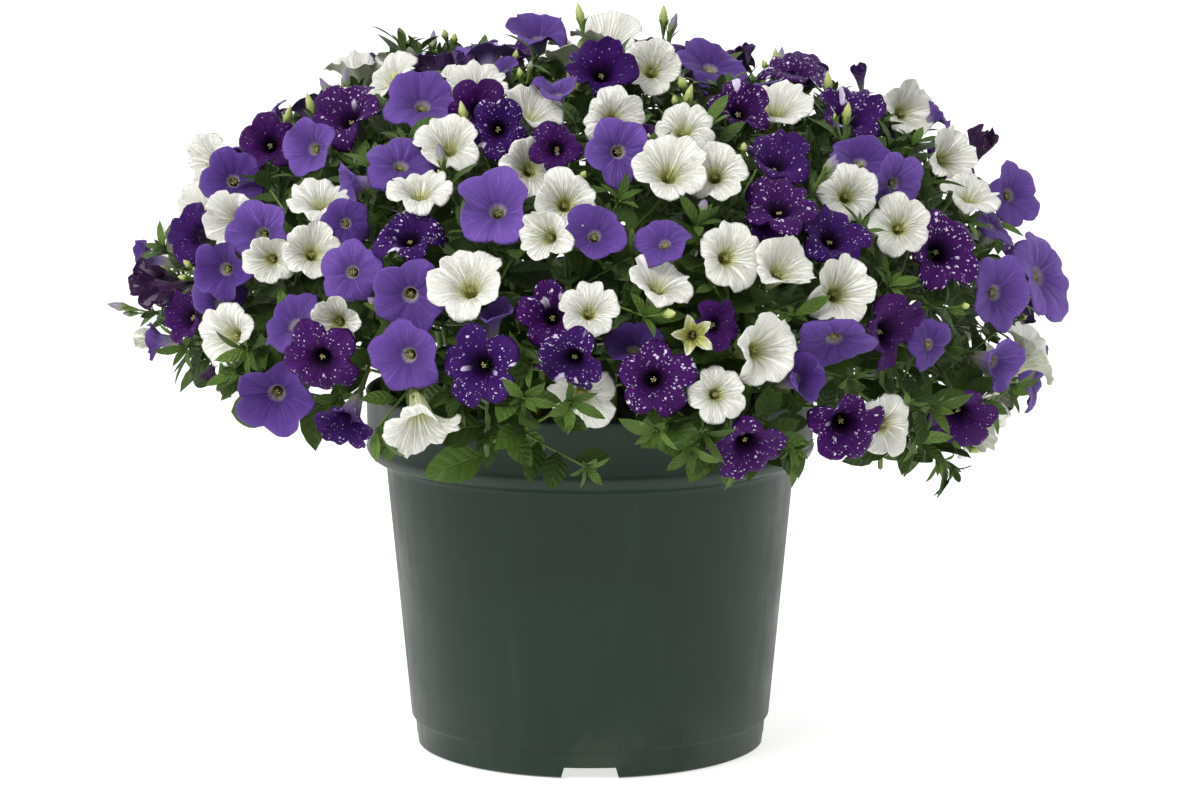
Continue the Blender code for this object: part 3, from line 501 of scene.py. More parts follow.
BUD_SHARE = 0.34
SHRINKS = (1.0, 1.0, 0.96, 0.96, 0.92, 0.88, 0.84, 0.80)
BLADE_SHARES = (1.0, 0.9, 0.8, 0.7, 0.6)
DEEP_SPACING = 0.0170
NEAR_BLOOM = 0.016
MOST_SEEN_FROM_EDGE = math.radians(80)

# Blooms that are half open or past their best: place in the view, how far closed, and wilted or not
BLOOM_FORMS = (
    (163, 284, 0.70, True),
    (209, 302, 0.55, True),
    (350, 419, 0.55, True),
    (802, 379, 0.55, False),
    (424, 425, 0.30, False),
    (579, 404, 0.30, False),
    (538, 38, 0.34, False),
    (558, 94, 0.26, False),
    (994, 363, 0.36, False),
    (1035, 186, 0.22, False),
    (487, 315, 0.40, False),
    (227, 270, 0.34, False),
    (357, 186, 0.42, False),
    (530, 102, 0.34, False),
    (273, 260, 0.36, False),
    (314, 150, 0.40, False),
    (945, 158, 0.16, False),
    (904, 112, 0.12, False),
)

# Small blooms along the mound's edge: colour, place and radius in the view, the way each faces,
# how far closed, and wilted or not
EDGE_BLOOMS = (
    ("speckled", 981, 148, 25, (0.40, 0.85, 0.20), 0.74, True),
    ("speckled", 858, 80, 15, (-0.10, 0.95, 0.30), 0.80, False),
    ("speckled", 801, 74, 24, (0.10, 0.75, 0.60), 0.46, False),
    ("violet", 747, 56, 11, (0.05, 0.95, 0.20), 0.90, True),
    ("violet", 933, 118, 19, (0.60, 0.65, 0.30), 0.40, False),
    ("speckled", 214, 372, 12, (-0.10, -0.95, 0.20), 0.70, True),
    ("violet", 462, 70, 18, (0.55, 0.75, 0.20), 0.62, True),
    ("violet", 372, 72, 19, (-0.60, 0.60, 0.20), 0.62, True),
    ("speckled", 176, 290, 22, (-0.92, -0.25, 0.20), 0.74, True),
    ("violet", 505, 72, 17, (-0.35, 0.70, 0.50), 0.50, False),
)
STAR_BLOOM = ("white", 691, 338, 22, (0.05, 0.15, 0.98))
STAR_LIFT = 0.009

# Blooms given a form, by spray: their number in it, how far closed, their size, their tint
# (for speckled blooms the share of spots) and the way they face in the view
NAMED_FORMS = {
    "speckled_spray_05": (
        (5, 0.2, 0.85, 0.3), (1, 0.0, 1.0, 0.55), (3, 0.46, 1.0, 0.5, (-0.36, -0.74, 0.4)),
    ),
    "speckled_spray_06": (
        (0, 0.0, 1.0, 0.66), (3, 0.1, 1.0, 0.74), (4, 0.0, 1.0, 0.8), (2, 0.0, 1.0, 1.0),
    ),
    "speckled_spray_07": (
        (1, 0.0, 1.0, 0.16), (6, 0.1, 1.0, 0.6), (0, 0.0, 1.0, 0.7), (5, 0.0, 1.0, 0.62),
        (4, 0.0, 1.0, 0.72),
    ),
    "speckled_spray_08": (
        (2, 0.0, 1.0, 0.3), (0, 0.0, 1.0, 0.85),
    ),
    "violet_spray_01": (
        (1, 0.0, 1.25, 1.0),
    ),
    "violet_spray_04": (
        (5, 0.5, 0.75, 0.1),
    ),
    "violet_spray_05": (
        (6, 0.8, 0.62, 0.1), (0, 0.0, 1.0, 0.85), (5, 0.1, 1.0, 0.05),
    ),
    "violet_spray_06": (
        (7, 0.34, 1.0, 0.8, (0.0, 0.86, 0.42)), (0, 0.0, 1.0, 0.95), (5, 0.0, 1.0, 0.55),
        (1, 0.0, 1.0, 0.5),
    ),
    "violet_spray_07": (
        (0, 0.0, 1.0, 0.42), (1, 0.0, 1.0, 0.45), (4, 0.0, 1.0, 0.1),
        (5, 0.5, 1.0, 0.05, (0.46, 0.36, 0.66)), (2, 0.0, 1.0, 0.9),
    ),
    "violet_spray_08": (
        (5, 0.32, 1.0, 0.9, (0.56, -0.36, 0.6)), (1, 0.0, 1.0, 0.7),
    ),
    "white_spray_05": (
        (6, 0.85, 0.55),
    ),
    "white_spray_06": (
        (6, 0.34, 0.9), (7, 0.16, 1.0), (1, 0.14, 1.0), (3, 0.42, 1.0, 0.5, (0.12, -0.84, 0.42)),
    ),
    "white_spray_07": (
        (3, 0.24, 0.84), (8, 0.1, 0.86), (1, 0.22, 0.94), (2, 0.1, 0.95),
    ),
}

# Leafy tips seen below and above the mound
FRINGE = (
    (262, 412), (268, 394), (240, 372), (300, 404), (322, 418), (378, 430), (250, 350), (285, 374),
    (335, 392), (505, 392), (524, 398), (468, 396), (656, 430), (690, 448), (702, 432), (620, 404),
    (770, 446), (792, 446), (893, 420), (905, 404), (930, 408), (958, 414), (985, 402), (1006, 388),
    (166, 250), (404, 46), (420, 54), (440, 56), (452, 62), (870, 436), (570, 402), (1012, 300),
)
SLOT_PETAL, SLOT_GREEN, SLOT_LEAF, SLOT_ANTHER, SLOT_BUD, SLOT_YOUNG = range(6)
SLOT_SURFACES = ("green", "leaf", "anther", "bud", "young")

# Fine pot and soil
FINE_SIDES = 144
SOIL_SIDES = 120
SOIL_RINGS = 26
SOIL_MIDDLE = 0.0004
SOIL_LUMPS = 0.0032
STEM_HEAP = 0.0016
STEM_HEAP_REACH = 0.006
CLODS = 260
CLOD_SINK = 0.001
CLOD_SIZES = (0.002, 0.0065)

# Camera, floor and lamps: name, place and size of each lamp
VIEW_ZOOM = 1.008
SENSOR_WIDTH = 36.0
FLOOR_REACH = 14
LAMPS = (("key", (-1.3, -2.1, 2.3), 1.5), ("fill", (2.4, -1.6, 1.3), 2.0))


def turned(first, second, angle):
    """The way that lies an angle from the first direction towards the second."""
    return first * math.cos(angle) + second * math.sin(angle)


def scatter(draw, most):
    """A random step of at most a length along each axis."""
    return Vector([draw.uniform(-most, most) for _ in range(3)])


def as_array(points):
    return np.array([tuple(point) for point in points])


def spiral_ways(count, drop, start=0.0):
    """Directions evenly spread round straight up: the angle from it and the azimuth of each."""
    for index in range(count):
        height = 1 - (index + 0.5) / count * drop
        yield math.acos(height), (index * GOLDEN_ANGLE + start) % (2 * math.pi)


def body_radius(height):
    """Outer radius of the pot's tapered body."""
    share = (height - BASE_RING_HEIGHT) / (RIM_BAND_FOOT - BASE_RING_HEIGHT)
    return BODY_FOOT_RADIUS + share * (BODY_TOP_RADIUS - BODY_FOOT_RADIUS)


def reach(polar, azimuth):
    """Distance from the mound's centre to its surface along a direction."""
    angles, reaches = zip(*MOUND_REACH)
    base = float(np.interp(math.degrees(polar), angles, reaches))
    side = math.sin(polar)
    broad, narrow = (
        math.sin(count * azimuth + turn) for count, turn in zip(WAVE_COUNTS, WAVE_TURNS)
    )
    wave = WAVE * side * side * broad + SMALL_WAVE_SHARE * WAVE * narrow * math.sin(2 * polar)
    drawn_in = RIGHT_DRAWN_IN * side * math.cos(azimuth)
    return base + wave - drawn_in + BACK_SWELL * side * max(0.0, math.sin(azimuth))


def edge_polar(azimuth):
    """How far down from straight up the blooms go: lower at the right and the back."""
    return EDGE_POLAR + EDGE_RIGHT * math.cos(azimuth) + EDGE_BACK * math.sin(azimuth)


def on_mound(polar, azimuth, depth=0.0):
    """The point of the mound's surface in a direction, or one at a depth below it."""
    level = math.sin(polar)
    direction = Vector((level * math.cos(azimuth), level * math.sin(azimuth), math.cos(polar)))
    return MOUND_CENTRE + direction * (reach(polar, azimuth) - depth)


def mound_angles(point):
    """A point's angle from straight up and its azimuth, seen from the mound's centre."""
    offset = point - MOUND_CENTRE
    polar = math.acos(max(-1.0, min(1.0, offset.z / offset.length)))
    return polar, math.atan2(offset.y, offset.x)


def mound_normal(point):
    """The way out of the mound at a point."""
    polar, azimuth = mound_angles(point)
    above = max(polar - NORMAL_STEP, 0.001)
    down = on_mound(polar + NORMAL_STEP, azimuth) - on_mound(above, azimuth)
    around = Vector((-math.sin(azimuth), math.cos(azimuth), 0.0))
    return around.cross(down).normalized() * -1.0


def view_axes():
    """The view's right, its up, and the way from the plant to the viewer."""
    towards = Vector((0.0, -math.cos(VIEW_ELEVATION), math.sin(VIEW_ELEVATION)))
    up = Vector((0.0, math.sin(VIEW_ELEVATION), math.cos(VIEW_ELEVATION)))
    return Vector((1.0, 0.0, 0.0)), up, towards


def seen_way(way):
    """A direction given by its shares of the view's right, its up and the way to the viewer."""
    right, up, towards = view_axes()
    return (right * way[0] + up * way[1] + towards * way[2]).normalized()


def seen_point(x, y):
    """The point of the mound's surface that a place in the view shows, or the nearest to it."""
    right, up, towards = view_axes()
    eye = VIEW_POINT + towards * VIEW_DISTANCE
    ray = right * (x - VIEW_CENTRE_X) - up * (y - VIEW_CENTRE_Y) - towards * VIEW_SCALE
    ray.normalize()
    best = None
    for step in range(SIGHT_STEPS):
        point = eye + ray * (VIEW_DISTANCE - SIGHT_START + step * SIGHT_STEP)
        share = (point - MOUND_CENTRE).length / reach(*mound_angles(point))
        if best is None or share < best[0]:
            best = (share, point)
        if share <= 1.0:
            break
    share, point = best
    return MOUND_CENTRE + (point - MOUND_CENTRE) / max(1.0, share / SIGHT_SLACK)


def smooth_path(points, steps):
    """Points at even distances along a Catmull-Rom curve through the given points."""
    padded = [points[0] * 2 - points[1], *points, points[-1] * 2 - points[-2]]
    fine = []
    for a, b, c, d in zip(padded, padded[1:], padded[2:], padded[3:]):
        for step in range(PATH_FINENESS):
            t = step / PATH_FINENESS
            square = 2 * a - 5 * b + 4 * c - d
            cube = 3 * b - a - 3 * c + d
            fine.append(0.5 * (2 * b + (c - a) * t + square * t * t + cube * t**3))
    fine.append(points[-1])
    lengths = np.cumsum([0.0] + [(q - p).length for p, q in zip(fine, fine[1:])])
    wanted = np.linspace(0.0, lengths[-1], steps + 1)
    columns = [np.interp(wanted, lengths, [p[axis] for p in fine]) for axis in range(3)]
    return [Vector(point) for point in zip(*columns)]


def shoot_path(azimuth, foot_radius, polars, depth):
    """A shoot's line: straight up out of the soil, then over the mound at a depth, in one upright plane."""
    outward = Vector((math.cos(azimuth), math.sin(azimuth), 0.0))
    foot = outward * foot_radius + Vector((0, 0, SOIL_CROWN_HEIGHT - STEM_SINK))
    rise = foot + Vector((0, 0, STEM_SINK + STEM_RISE))
    over = [on_mound(math.radians(polar), azimuth, depth) for polar in polars]
    shoulder = rise.lerp(over[0], 0.5) + Vector((0, 0, STEM_RISE))
    return [foot, *smooth_path([rise, shoulder, *over], STEM_STEPS)]


def stitch(first, second):
    """Triangles between two rings of vertex numbers that turn the same way."""
    faces, i, j = [], 0, 0
    many, few = len(first), len(second)
    while i < many or j < few:
        a, b = first[i % many], second[j % few]
        if j >= few or (i < many and (i + 1) * few <= (j + 1) * many):
            i += 1
            faces.append((a, first[i % many], b))
        else:
            j += 1
            faces.append((a, second[j % few], b))
    return faces


def across(direction, hint):
    """Two directions square to the given one."""
    side = direction.cross(hint)
    if side.length < 1e-4:
        side = direction.cross(SPARE_SIDE)
    side.normalize()
    return side, direction.cross(side).normalized()


def ring(points, centre, side, other, radius, count, turn=0.0):
    """Adds a circle of points and returns their numbers."""
    start = len(points)
    for index in range(count):
        angle = turn + index * 2 * math.pi / count
        points.append(centre + turned(side, other, angle) * radius)
    return list(range(start, start + count))


def bloom_head(kind, centre, facing, turn, radius):
    """The bloom's lobed face and tube, open where its stalk begins, with the last ring and its axes."""
    side, other = across(facing, UP)
    points, outline = [], []
    for index in range(2 * LOBES):
        angle = turn + index * math.pi / LOBES
        length = radius * (NOTCH_SHARE[kind] if index % 2 else 1.0)
        lift = radius * (NOTCH_LIFT if index % 2 else TIP_LIFT)
        out = turned(side, other, angle)
        points.append(centre + out * length + facing * lift)
        outline.append(index)
    points.append(centre - facing * radius * PIT_DEPTH)
    pit = len(points) - 1
    faces = [(pit, b, a) for a, b in zip(outline, outline[1:] + outline[:1])]
    neck_centre = centre - facing * radius * NECK_DEPTH
    neck = ring(points, neck_centre, side, other, TUBE_RADIUS, STALK_SIDES, turn)
    calyx_centre = centre - facing * TUBE_LENGTH
    calyx = ring(points, calyx_centre, side, other, CALYX_RADIUS, STALK_SIDES, turn)
    faces += stitch(outline, neck) + stitch(neck, calyx)
    return points, faces, calyx


def bloom_mesh(kind, centre, facing, turn, radius, root=None):
    """A whole bloom. With a root, its stalk bends from the tube's foot to that point inside a stem."""
    points, faces, last = bloom_head(kind, centre, facing, turn, radius)
    if root is not None:
        foot = centre - facing * TUBE_LENGTH
        length = (root - foot).length
        bend = foot - facing * length * STALK_BEND
        sharp = (bend - root).normalized().dot(facing) < STALK_STRAIGHT
        bent = sharp or length > STALK_BENT_LENGTH
        side, _ = across(facing, UP)
        for share in (0.5, 1.0) if bent else (1.0,):
            spot = foot.lerp(bend, share).lerp(bend.lerp(root, share), share)
            back = (foot.lerp(bend, share) - bend.lerp(root, share)).normalized()
            other = back.cross(side).normalized()
            side = other.cross(back)
            thickness = STALK_RADIUS if share < 1.0 else STALK_ROOT_RADIUS
            following = ring(points, spot, side, other, thickness, STALK_SIDES, turn)
            faces += stitch(last, following)
            last = following
    faces.append(tuple(last))
    return points, outward_faces(points, faces)


def stem_mesh(path):
    """The three-sided tube of a shoot, thinner towards its tip: points and faces."""
    out = Vector((path[-1].x, path[-1].y, 0.0)).normalized()
    side = out.cross(UP)
    points, faces, last = [], [], None
    for index, spot in enumerate(path):
        ahead = path[min(index + 1, len(path) - 1)] - path[max(index - 1, 0)]
        radius = STEM_RADIUS + index / (len(path) - 1) * (STEM_TIP_RADIUS - STEM_RADIUS)
        other = ahead.normalized().cross(side)
        following = ring(points, spot, side, other, radius, STEM_SIDES)
        faces += stitch(last, following) if last else [tuple(reversed(following))]
        last = following
    faces.append(tuple(last))
    return points, outward_faces(points, faces)


def leaf_mesh(root, direction, face_up, length, width):
    """A leaf folded along its rib, its foot two points inside the stem."""
    side = direction.cross(face_up).normalized()
    up = side.cross(direction).normalized()

    def edge(hand):
        return [
            root + direction * length * along + side * hand * width / 2 * over + up * length * rise
            for along, over, rise in LEAF_EDGE
        ]

    along, rise = LEAF_RIB
    points = [
        root + up * LEAF_THICKNESS * LEAF_ROOT_SHARE,
        root - up * LEAF_THICKNESS * LEAF_ROOT_SHARE,
        *edge(1),
        root + direction * length + up * length * LEAF_TIP_RISE,
        *reversed(edge(-1)),
        root + direction * length * along + up * (length * rise + LEAF_THICKNESS / 2),
        root + direction * length * along + up * (length * rise - LEAF_THICKNESS / 2),
    ]
    top = [(7, a, b) for a, b in zip((0, 2, 3, 4, 5, 6), (2, 3, 4, 5, 6, 0))]
    under = [(8, b, a) for a, b in zip((1, 2, 3, 4, 5, 6), (2, 3, 4, 5, 6, 1))]
    return points, outward_faces(points, top + under + [(0, 1, 2), (1, 0, 6)])


def outward_faces(points, faces):
    """The faces, turned round where they would enclose a negative volume."""
    volume = 0.0
    for face in faces:
        for b, c in zip(face[1:], face[2:]):
            volume += points[face[0]].dot(points[b].cross(points[c]))
    return faces if volume > 0 else [tuple(reversed(face)) for face in faces]


def swollen(points, faces, distance):
    """The points moved out along their normals, so that a test keeps a clearance."""
    normals = [Vector((0.0, 0.0, 0.0)) for _ in points]
    for face in faces:
        a, b, c = (points[index] for index in face[:3])
        normal = (b - a).cross(c - a).normalized()
        for index in face:
            normals[index] += normal
    return [point + normal.normalized() * distance for point, normal in zip(points, normals)]


class Crowd:
    """Every solid placed so far, for finding what a new one would touch."""

    def __init__(self):
        self.trees, self.nodes, self.lows, self.highs = [], [], [], []
        self.boxes = None

    def add(self, node, points, faces):
        self.trees.append(BVHTree.FromPolygons(points, faces))
        self.nodes.append(node)
        array = as_array(points)
        self.lows.append(array.min(axis=0))
        self.highs.append(array.max(axis=0))
        self.boxes = None

    def touches(self, points, faces, apart_from=()):
        """Whether a solid, with its clearance, meets any placed one that isn't named."""
        return self.meets(swollen(points, faces, CLEARANCE), faces, apart_from)

    def meets(self, points, faces, apart_from=()):
        array = as_array(points)
        if self.boxes is None:
            self.boxes = np.array(self.lows), np.array(self.highs)
        lows, highs = self.boxes
        if not len(lows):
            return False
        near = np.all((lows < array.max(axis=0)) & (highs > array.min(axis=0)), axis=1)
        if not near.any():
            return False
        tree = BVHTree.FromPolygons(points, faces)
        return any(
            self.nodes[index] not in apart_from and bool(tree.overlap(self.trees[index]))
            for index in np.flatnonzero(near)
        )


class Shoot:
    """One node of the plant: its stem and what grows from it."""

    def __init__(self, name, kind, path):
        self.name, self.kind, self.path = name, kind, path
        self.stem = stem_mesh(path)
        self.growths, self.heads, self.blades = [], [], []
        self.blooms = 0

    def attach_points(self):
        """Places along the stem, above the soil, where a stalk or a leaf can grow."""
        places = []
        for a, b in zip(self.path[2:], self.path[3:]):
            places.extend(a.lerp(b, share) for share in ATTACH_SHARES)
        return places


def make_shoots():
    """Flowering sprays in turn by colour all round, a few up the middle, and leafy shoots between."""
    shoots = []
    count = dict.fromkeys((*KINDS, "leaf"), 0)

    def add(kind, path):
        count[kind] += 1
        family = "leafy_shoot" if kind == "leaf" else f"{kind}_spray"
        shoots.append(Shoot(f"{family}_{count[kind]:02d}", kind, path))

    for index in range(SIDE_SPRAYS):
        azimuth = 2 * math.pi * (index + SIDE_TURN) / SIDE_SPRAYS
        last = math.degrees(edge_polar(azimuth)) - SIDE_SHORT_OF_EDGE
        run = (SIDE_START, (SIDE_START + last) / 2, last)
        turn = index % len(KINDS)
        foot = SIDE_FOOT - SIDE_FOOT_STEP * turn
        depth = SPRAY_DEPTH + SIDE_DEPTH_STEP * (turn - 1)
        add(KINDS[turn], shoot_path(azimuth, foot, run, depth))
    for index in range(TOP_SPRAYS):
        azimuth = 2 * math.pi * (index + TOP_TURN) / TOP_SPRAYS
        depth = SPRAY_DEPTH + TOP_DEPTH_STEP * (index % 2)
        add(KINDS[index % len(KINDS)], shoot_path(azimuth, TOP_FOOT, TOP_RUN, depth))
    for index in range(LEAFY_SHOOTS):
        azimuth = 2 * math.pi * (index + LEAFY_TURN) / LEAFY_SHOOTS
        last = math.degrees(edge_polar(azimuth)) + LEAFY_PAST_EDGE
        add("leaf", shoot_path(azimuth, LEAFY_FOOT, (LEAFY_START, last), LEAFY_DEPTH))
    for index in range(LEAFY_TOPS):
        azimuth = 2 * math.pi * (index / LEAFY_TOPS + LEAFY_TOP_TURN)
        add("leaf", shoot_path(azimuth, LEAFY_TOP_FOOT, LEAFY_TOP_RUN, LEAFY_DEPTH))
    return shoots


def front_blooms():
    """Kind, place, facing and radius of each bloom read in the view."""
    right, up, towards = view_axes()
    ways = {"up": up, "down": up * -1.0, "left": right * -1.0, "right": right}
    for kind, x, y, wide, high, way in FRONT_BLOOMS:
        place = seen_point(x, y)
        normal = mound_normal(place)
        slant = math.acos(min(wide, high) / max(wide, high))
        outward = (normal - towards * normal.dot(towards)).normalized()
        slope = ways[way] if way in ways else outward
        facing = turned(towards, slope, slant)
        facing = (facing + normal * LEAN_OUT).normalized()
        radius = max(wide, high) / 2 * VIEW_DISTANCE / VIEW_SCALE
        yield kind, place, facing, min(max(radius, BLOOM_LEAST), BLOOM_MOST)


def spiral_blooms(placed):
    """Places all over the mound, evenly spread, that no bloom holds yet."""
    draw = random.Random(SEED)
    for polar, azimuth in spiral_ways(SPIRAL_POINTS, SPIRAL_REACH):
        if polar > edge_polar(azimuth):
            continue
        place = on_mound(polar, azimuth, draw.uniform(*SPIRAL_DEPTHS))
        if min((place - other).length for other, _ in placed) < BLOOM_SPACING:
            continue
        near = sorted(placed, key=lambda item: (item[0] - place).length)[:3]
        alike = [sum(kind == taken for _, taken in near) for kind in KINDS]
        kind = draw.choices(KINDS, [1.0 / (1 + 2 * count) for count in alike])[0]
        tilt = scatter(draw, SPIRAL_TILT)
        facing = (mound_normal(place) + Vector((0, 0, SPIRAL_LIFT)) + tilt).normalized()
        yield kind, place, facing, BLOOM_RADIUS * draw.uniform(*SPIRAL_SIZES)


def stem_points(shoots):
    """Every shoot with each place where something can grow from it."""
    return [(shoot, point) for shoot in shoots for point in shoot.attach_points()]


def grow_bloom(shoots, crowd, kind, place, facing, radius, draw):
    """Finds a clear way to hold a bloom near a place. Returns where it came to, or None."""
    normal = mound_normal(place)
    routes = stem_points(shoot for shoot in shoots if shoot.kind == kind)
    for depth in BLOOM_DEPTHS:
        for lean, scale in BLOOM_LEANS:
            wobble = scatter(draw, lean)
            aim = (facing + wobble).normalized()
            spot = place - normal * depth
            turn = draw.uniform(0, 2 * math.pi / LOBES)
            if crowd.touches(*bloom_mesh(kind, spot, aim, turn, radius * scale)):
                continue
            foot = spot - aim * TUBE_LENGTH
            routes.sort(key=lambda route: (route[1] - foot).length + CROWDED_STEM * route[0].blooms)
            for shoot, root in routes[:ROUTES_TRIED]:
                way = root - foot
                if way.length > LONGEST_STALK or way.normalized().dot(aim) > MOST_TURNED_BACK:
                    continue
                whole = bloom_mesh(kind, spot, aim, turn, radius * scale, root)
                if crowd.touches(*whole, apart_from=(shoot.name,)):
                    continue
                crowd.add(shoot.name + "_growth", *whole)
                shoot.growths.append(whole)
                shoot.heads.append((kind, spot, aim, turn, radius * scale, root))
                shoot.blooms += 1
                return spot
    return None


def grow_leaf(shoot, crowd, root, along, draw):
    """Tries a few ways for a leaf to leave the stem, outward and to the sides."""
    outward = mound_normal(root)
    side, _ = across(along, outward)
    for _ in range(LEAF_TRIES):
        swing = draw.uniform(-1.0, 1.0)
        direction = side * swing * LEAF_SWING + outward * draw.uniform(*LEAF_OUTWARD)
        direction.normalize()
        square = direction - along * direction.dot(along)
        direction = (square + along * draw.uniform(*LEAF_FORWARD)).normalized()
        size = draw.uniform(*LEAF_SIZES)
        face_up = (outward + UP * LEAF_FACE_LIFT).normalized()
        if abs(direction.dot(face_up)) > MOST_EDGE_ON:
            continue
        leaf = leaf_mesh(root, direction, face_up, LEAF_LENGTH * size, LEAF_WIDTH * size)
        if crowd.touches(*leaf, apart_from=(shoot.name,)):
            continue
        crowd.add(shoot.name + "_growth", *leaf)
        shoot.growths.append(leaf)
        blade_size = (LEAF_LENGTH * size, LEAF_WIDTH * size)
        shoot.blades.append((root, direction, face_up, *blade_size))
        return True
    return False


def grow_blooms(shoots, crowd):
    """The blooms read in the view, then the rest all round by the spiral's rule."""
    placed = []
    for index, (kind, place, facing, radius) in enumerate(front_blooms()):
        draw = random.Random(f"front {SEED} {index}")
        spot = grow_bloom(shoots, crowd, kind, place, facing, radius, draw)
        if spot is not None:
            placed.append((spot, kind))
    for kind, place, facing, radius in list(spiral_blooms(placed)):
        if len(placed) >= MOST_BLOOMS:
            break
        if min((place - other).length for other, _ in placed) < BLOOM_SPACING:
            continue
        draw = random.Random(f"round {SEED} {len(placed)}")
        spot = grow_bloom(shoots, crowd, kind, place, facing, radius, draw)
        if spot is not None:
            placed.append((spot, kind))


def grow_leaves(shoots, crowd):
    """Leaves at even steps along each stem, closer on the leafy shoots, which come first."""
    leaves = 0
    for shoot in sorted(shoots, key=lambda one: one.kind != "leaf"):
        draw = random.Random(f"leaf {SEED} {shoot.name}")
        share = LEAFY_SPACING_SHARE if shoot.kind == "leaf" else SPRAY_SPACING_SHARE
        spacing = LEAF_SPACING * share
        walked = 0.0
        for a, b in zip(shoot.path[2:], shoot.path[3:]):
            gap = (b - a).length
            while walked < gap and leaves < MOST_LEAVES:
                root = a.lerp(b, walked / gap)
                leaves += grow_leaf(shoot, crowd, root, (b - a).normalized(), draw)
                walked += spacing
            walked -= gap


def grow_all(crowd):
    """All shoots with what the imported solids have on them."""
    shoots = make_shoots()
    for shoot in shoots:
        crowd.add(shoot.name, *shoot.stem)
    grow_blooms(shoots, crowd)
    grow_leaves(shoots, crowd)
    return shoots


class Heap:
    """The surfaces of one piece, gathered before its mesh is made."""

    def __init__(self):
        self.points, self.faces, self.slots, self.places, self.lots = [], [], [], [], []
        self.count = 0

    def add(self, points, faces, slot, places, lot):
        """One surface; its faces may come as several arrays, one for each number of corners."""
        points = np.asarray(points, dtype=np.float64)
        self.points.append(points)
        for group in faces if isinstance(faces, tuple) else (faces,):
            self.faces.append(np.asarray(group, dtype=np.int64) + self.count)
            self.slots.append(np.full(len(group), slot))
        self.places.append(np.asarray(places, dtype=np.float64))
        self.lots.append(np.full(len(points), lot))
        self.count += len(points)

    def mesh(self, name, materials):
        """The mesh, with only the materials that its faces use."""
        mesh = bpy.data.meshes.new(name)
        slots = np.concatenate(self.slots)
        used, slots = np.unique(slots, return_inverse=True)
        points = np.concatenate(self.points)
        sizes = np.concatenate([np.full(len(faces), faces.shape[1]) for faces in self.faces])
        corners = np.concatenate([faces.ravel() for faces in self.faces])
        mesh.vertices.add(len(points))
        mesh.vertices.foreach_set("co", points.astype(np.float32).ravel())
        mesh.loops.add(len(corners))
        mesh.loops.foreach_set("vertex_index", corners.astype(np.int32))
        mesh.polygons.add(len(sizes))
        mesh.polygons.foreach_set("loop_start", np.concatenate([[0], np.cumsum(sizes)[:-1]]).astype(np.int32))
        mesh.polygons.foreach_set("material_index", slots.reshape(-1).astype(np.int32))
        mesh.update(calc_edges=True)
        mesh.polygons.foreach_set("use_smooth", np.ones(len(sizes), dtype=bool))
        place = mesh.attributes.new("place", "FLOAT_VECTOR", "POINT")
        place.data.foreach_set("vector", np.concatenate(self.places).astype(np.float32).ravel())
        lot = mesh.attributes.new("lot", "FLOAT", "POINT")
        lot.data.foreach_set("value", np.concatenate(self.lots).astype(np.float32))
        for slot in used:
            mesh.materials.append(materials[slot])
        return mesh


def sheet_faces(rows, columns, closed, start=0):
    """Quads between rows of points; closed joins each row's ends."""
    row = np.arange(rows - 1)[:, None] * columns
    column = np.arange(columns if closed else columns - 1)[None, :]
    ahead = (column + 1) % columns
    a, b = row + column, row + ahead
    quads = np.stack([a, b, b + columns, a + columns], axis=-1)
    return quads.reshape(-1, 4) + start


def round_angles(count):
    return np.arange(count) * 2 * math.pi / count


def turned_row(radius, angle, height):
    """Points about the axis at the given radii, angles and heights."""
    return np.stack(np.broadcast_arrays(radius * np.cos(angle), radius * np.sin(angle), height), axis=-1)


def round_places(rows, sides):
    """The place of each point of a round body: how far along it, and how far round."""
    share = np.repeat(np.linspace(0, 1, rows), sides)
    return np.stack([share, np.tile(np.linspace(-1, 1, sides), rows), np.zeros(rows * sides)], axis=-1)


def unit(ways):
    return ways / np.maximum(np.linalg.norm(ways, axis=1), 1e-9)[:, None]


def ridge(height, width, away):
    """A rounded ridge, by how far a point is from its middle."""
    return height * np.exp(-((away / width) ** 2))


def smooth_step(low, high, value):
    share = np.clip((value - low) / (high - low), 0.0, 1.0)
    return share * share * (3 - 2 * share)


def frame_of(facing, turn):
    """Rows: the bloom's own x, y and outward axis, in the part's frame."""
    side, other = across(facing, UP)
    x = turned(side, other, turn)
    y = other * math.cos(turn) - side * math.sin(turn)
    return as_array((x, y, facing))


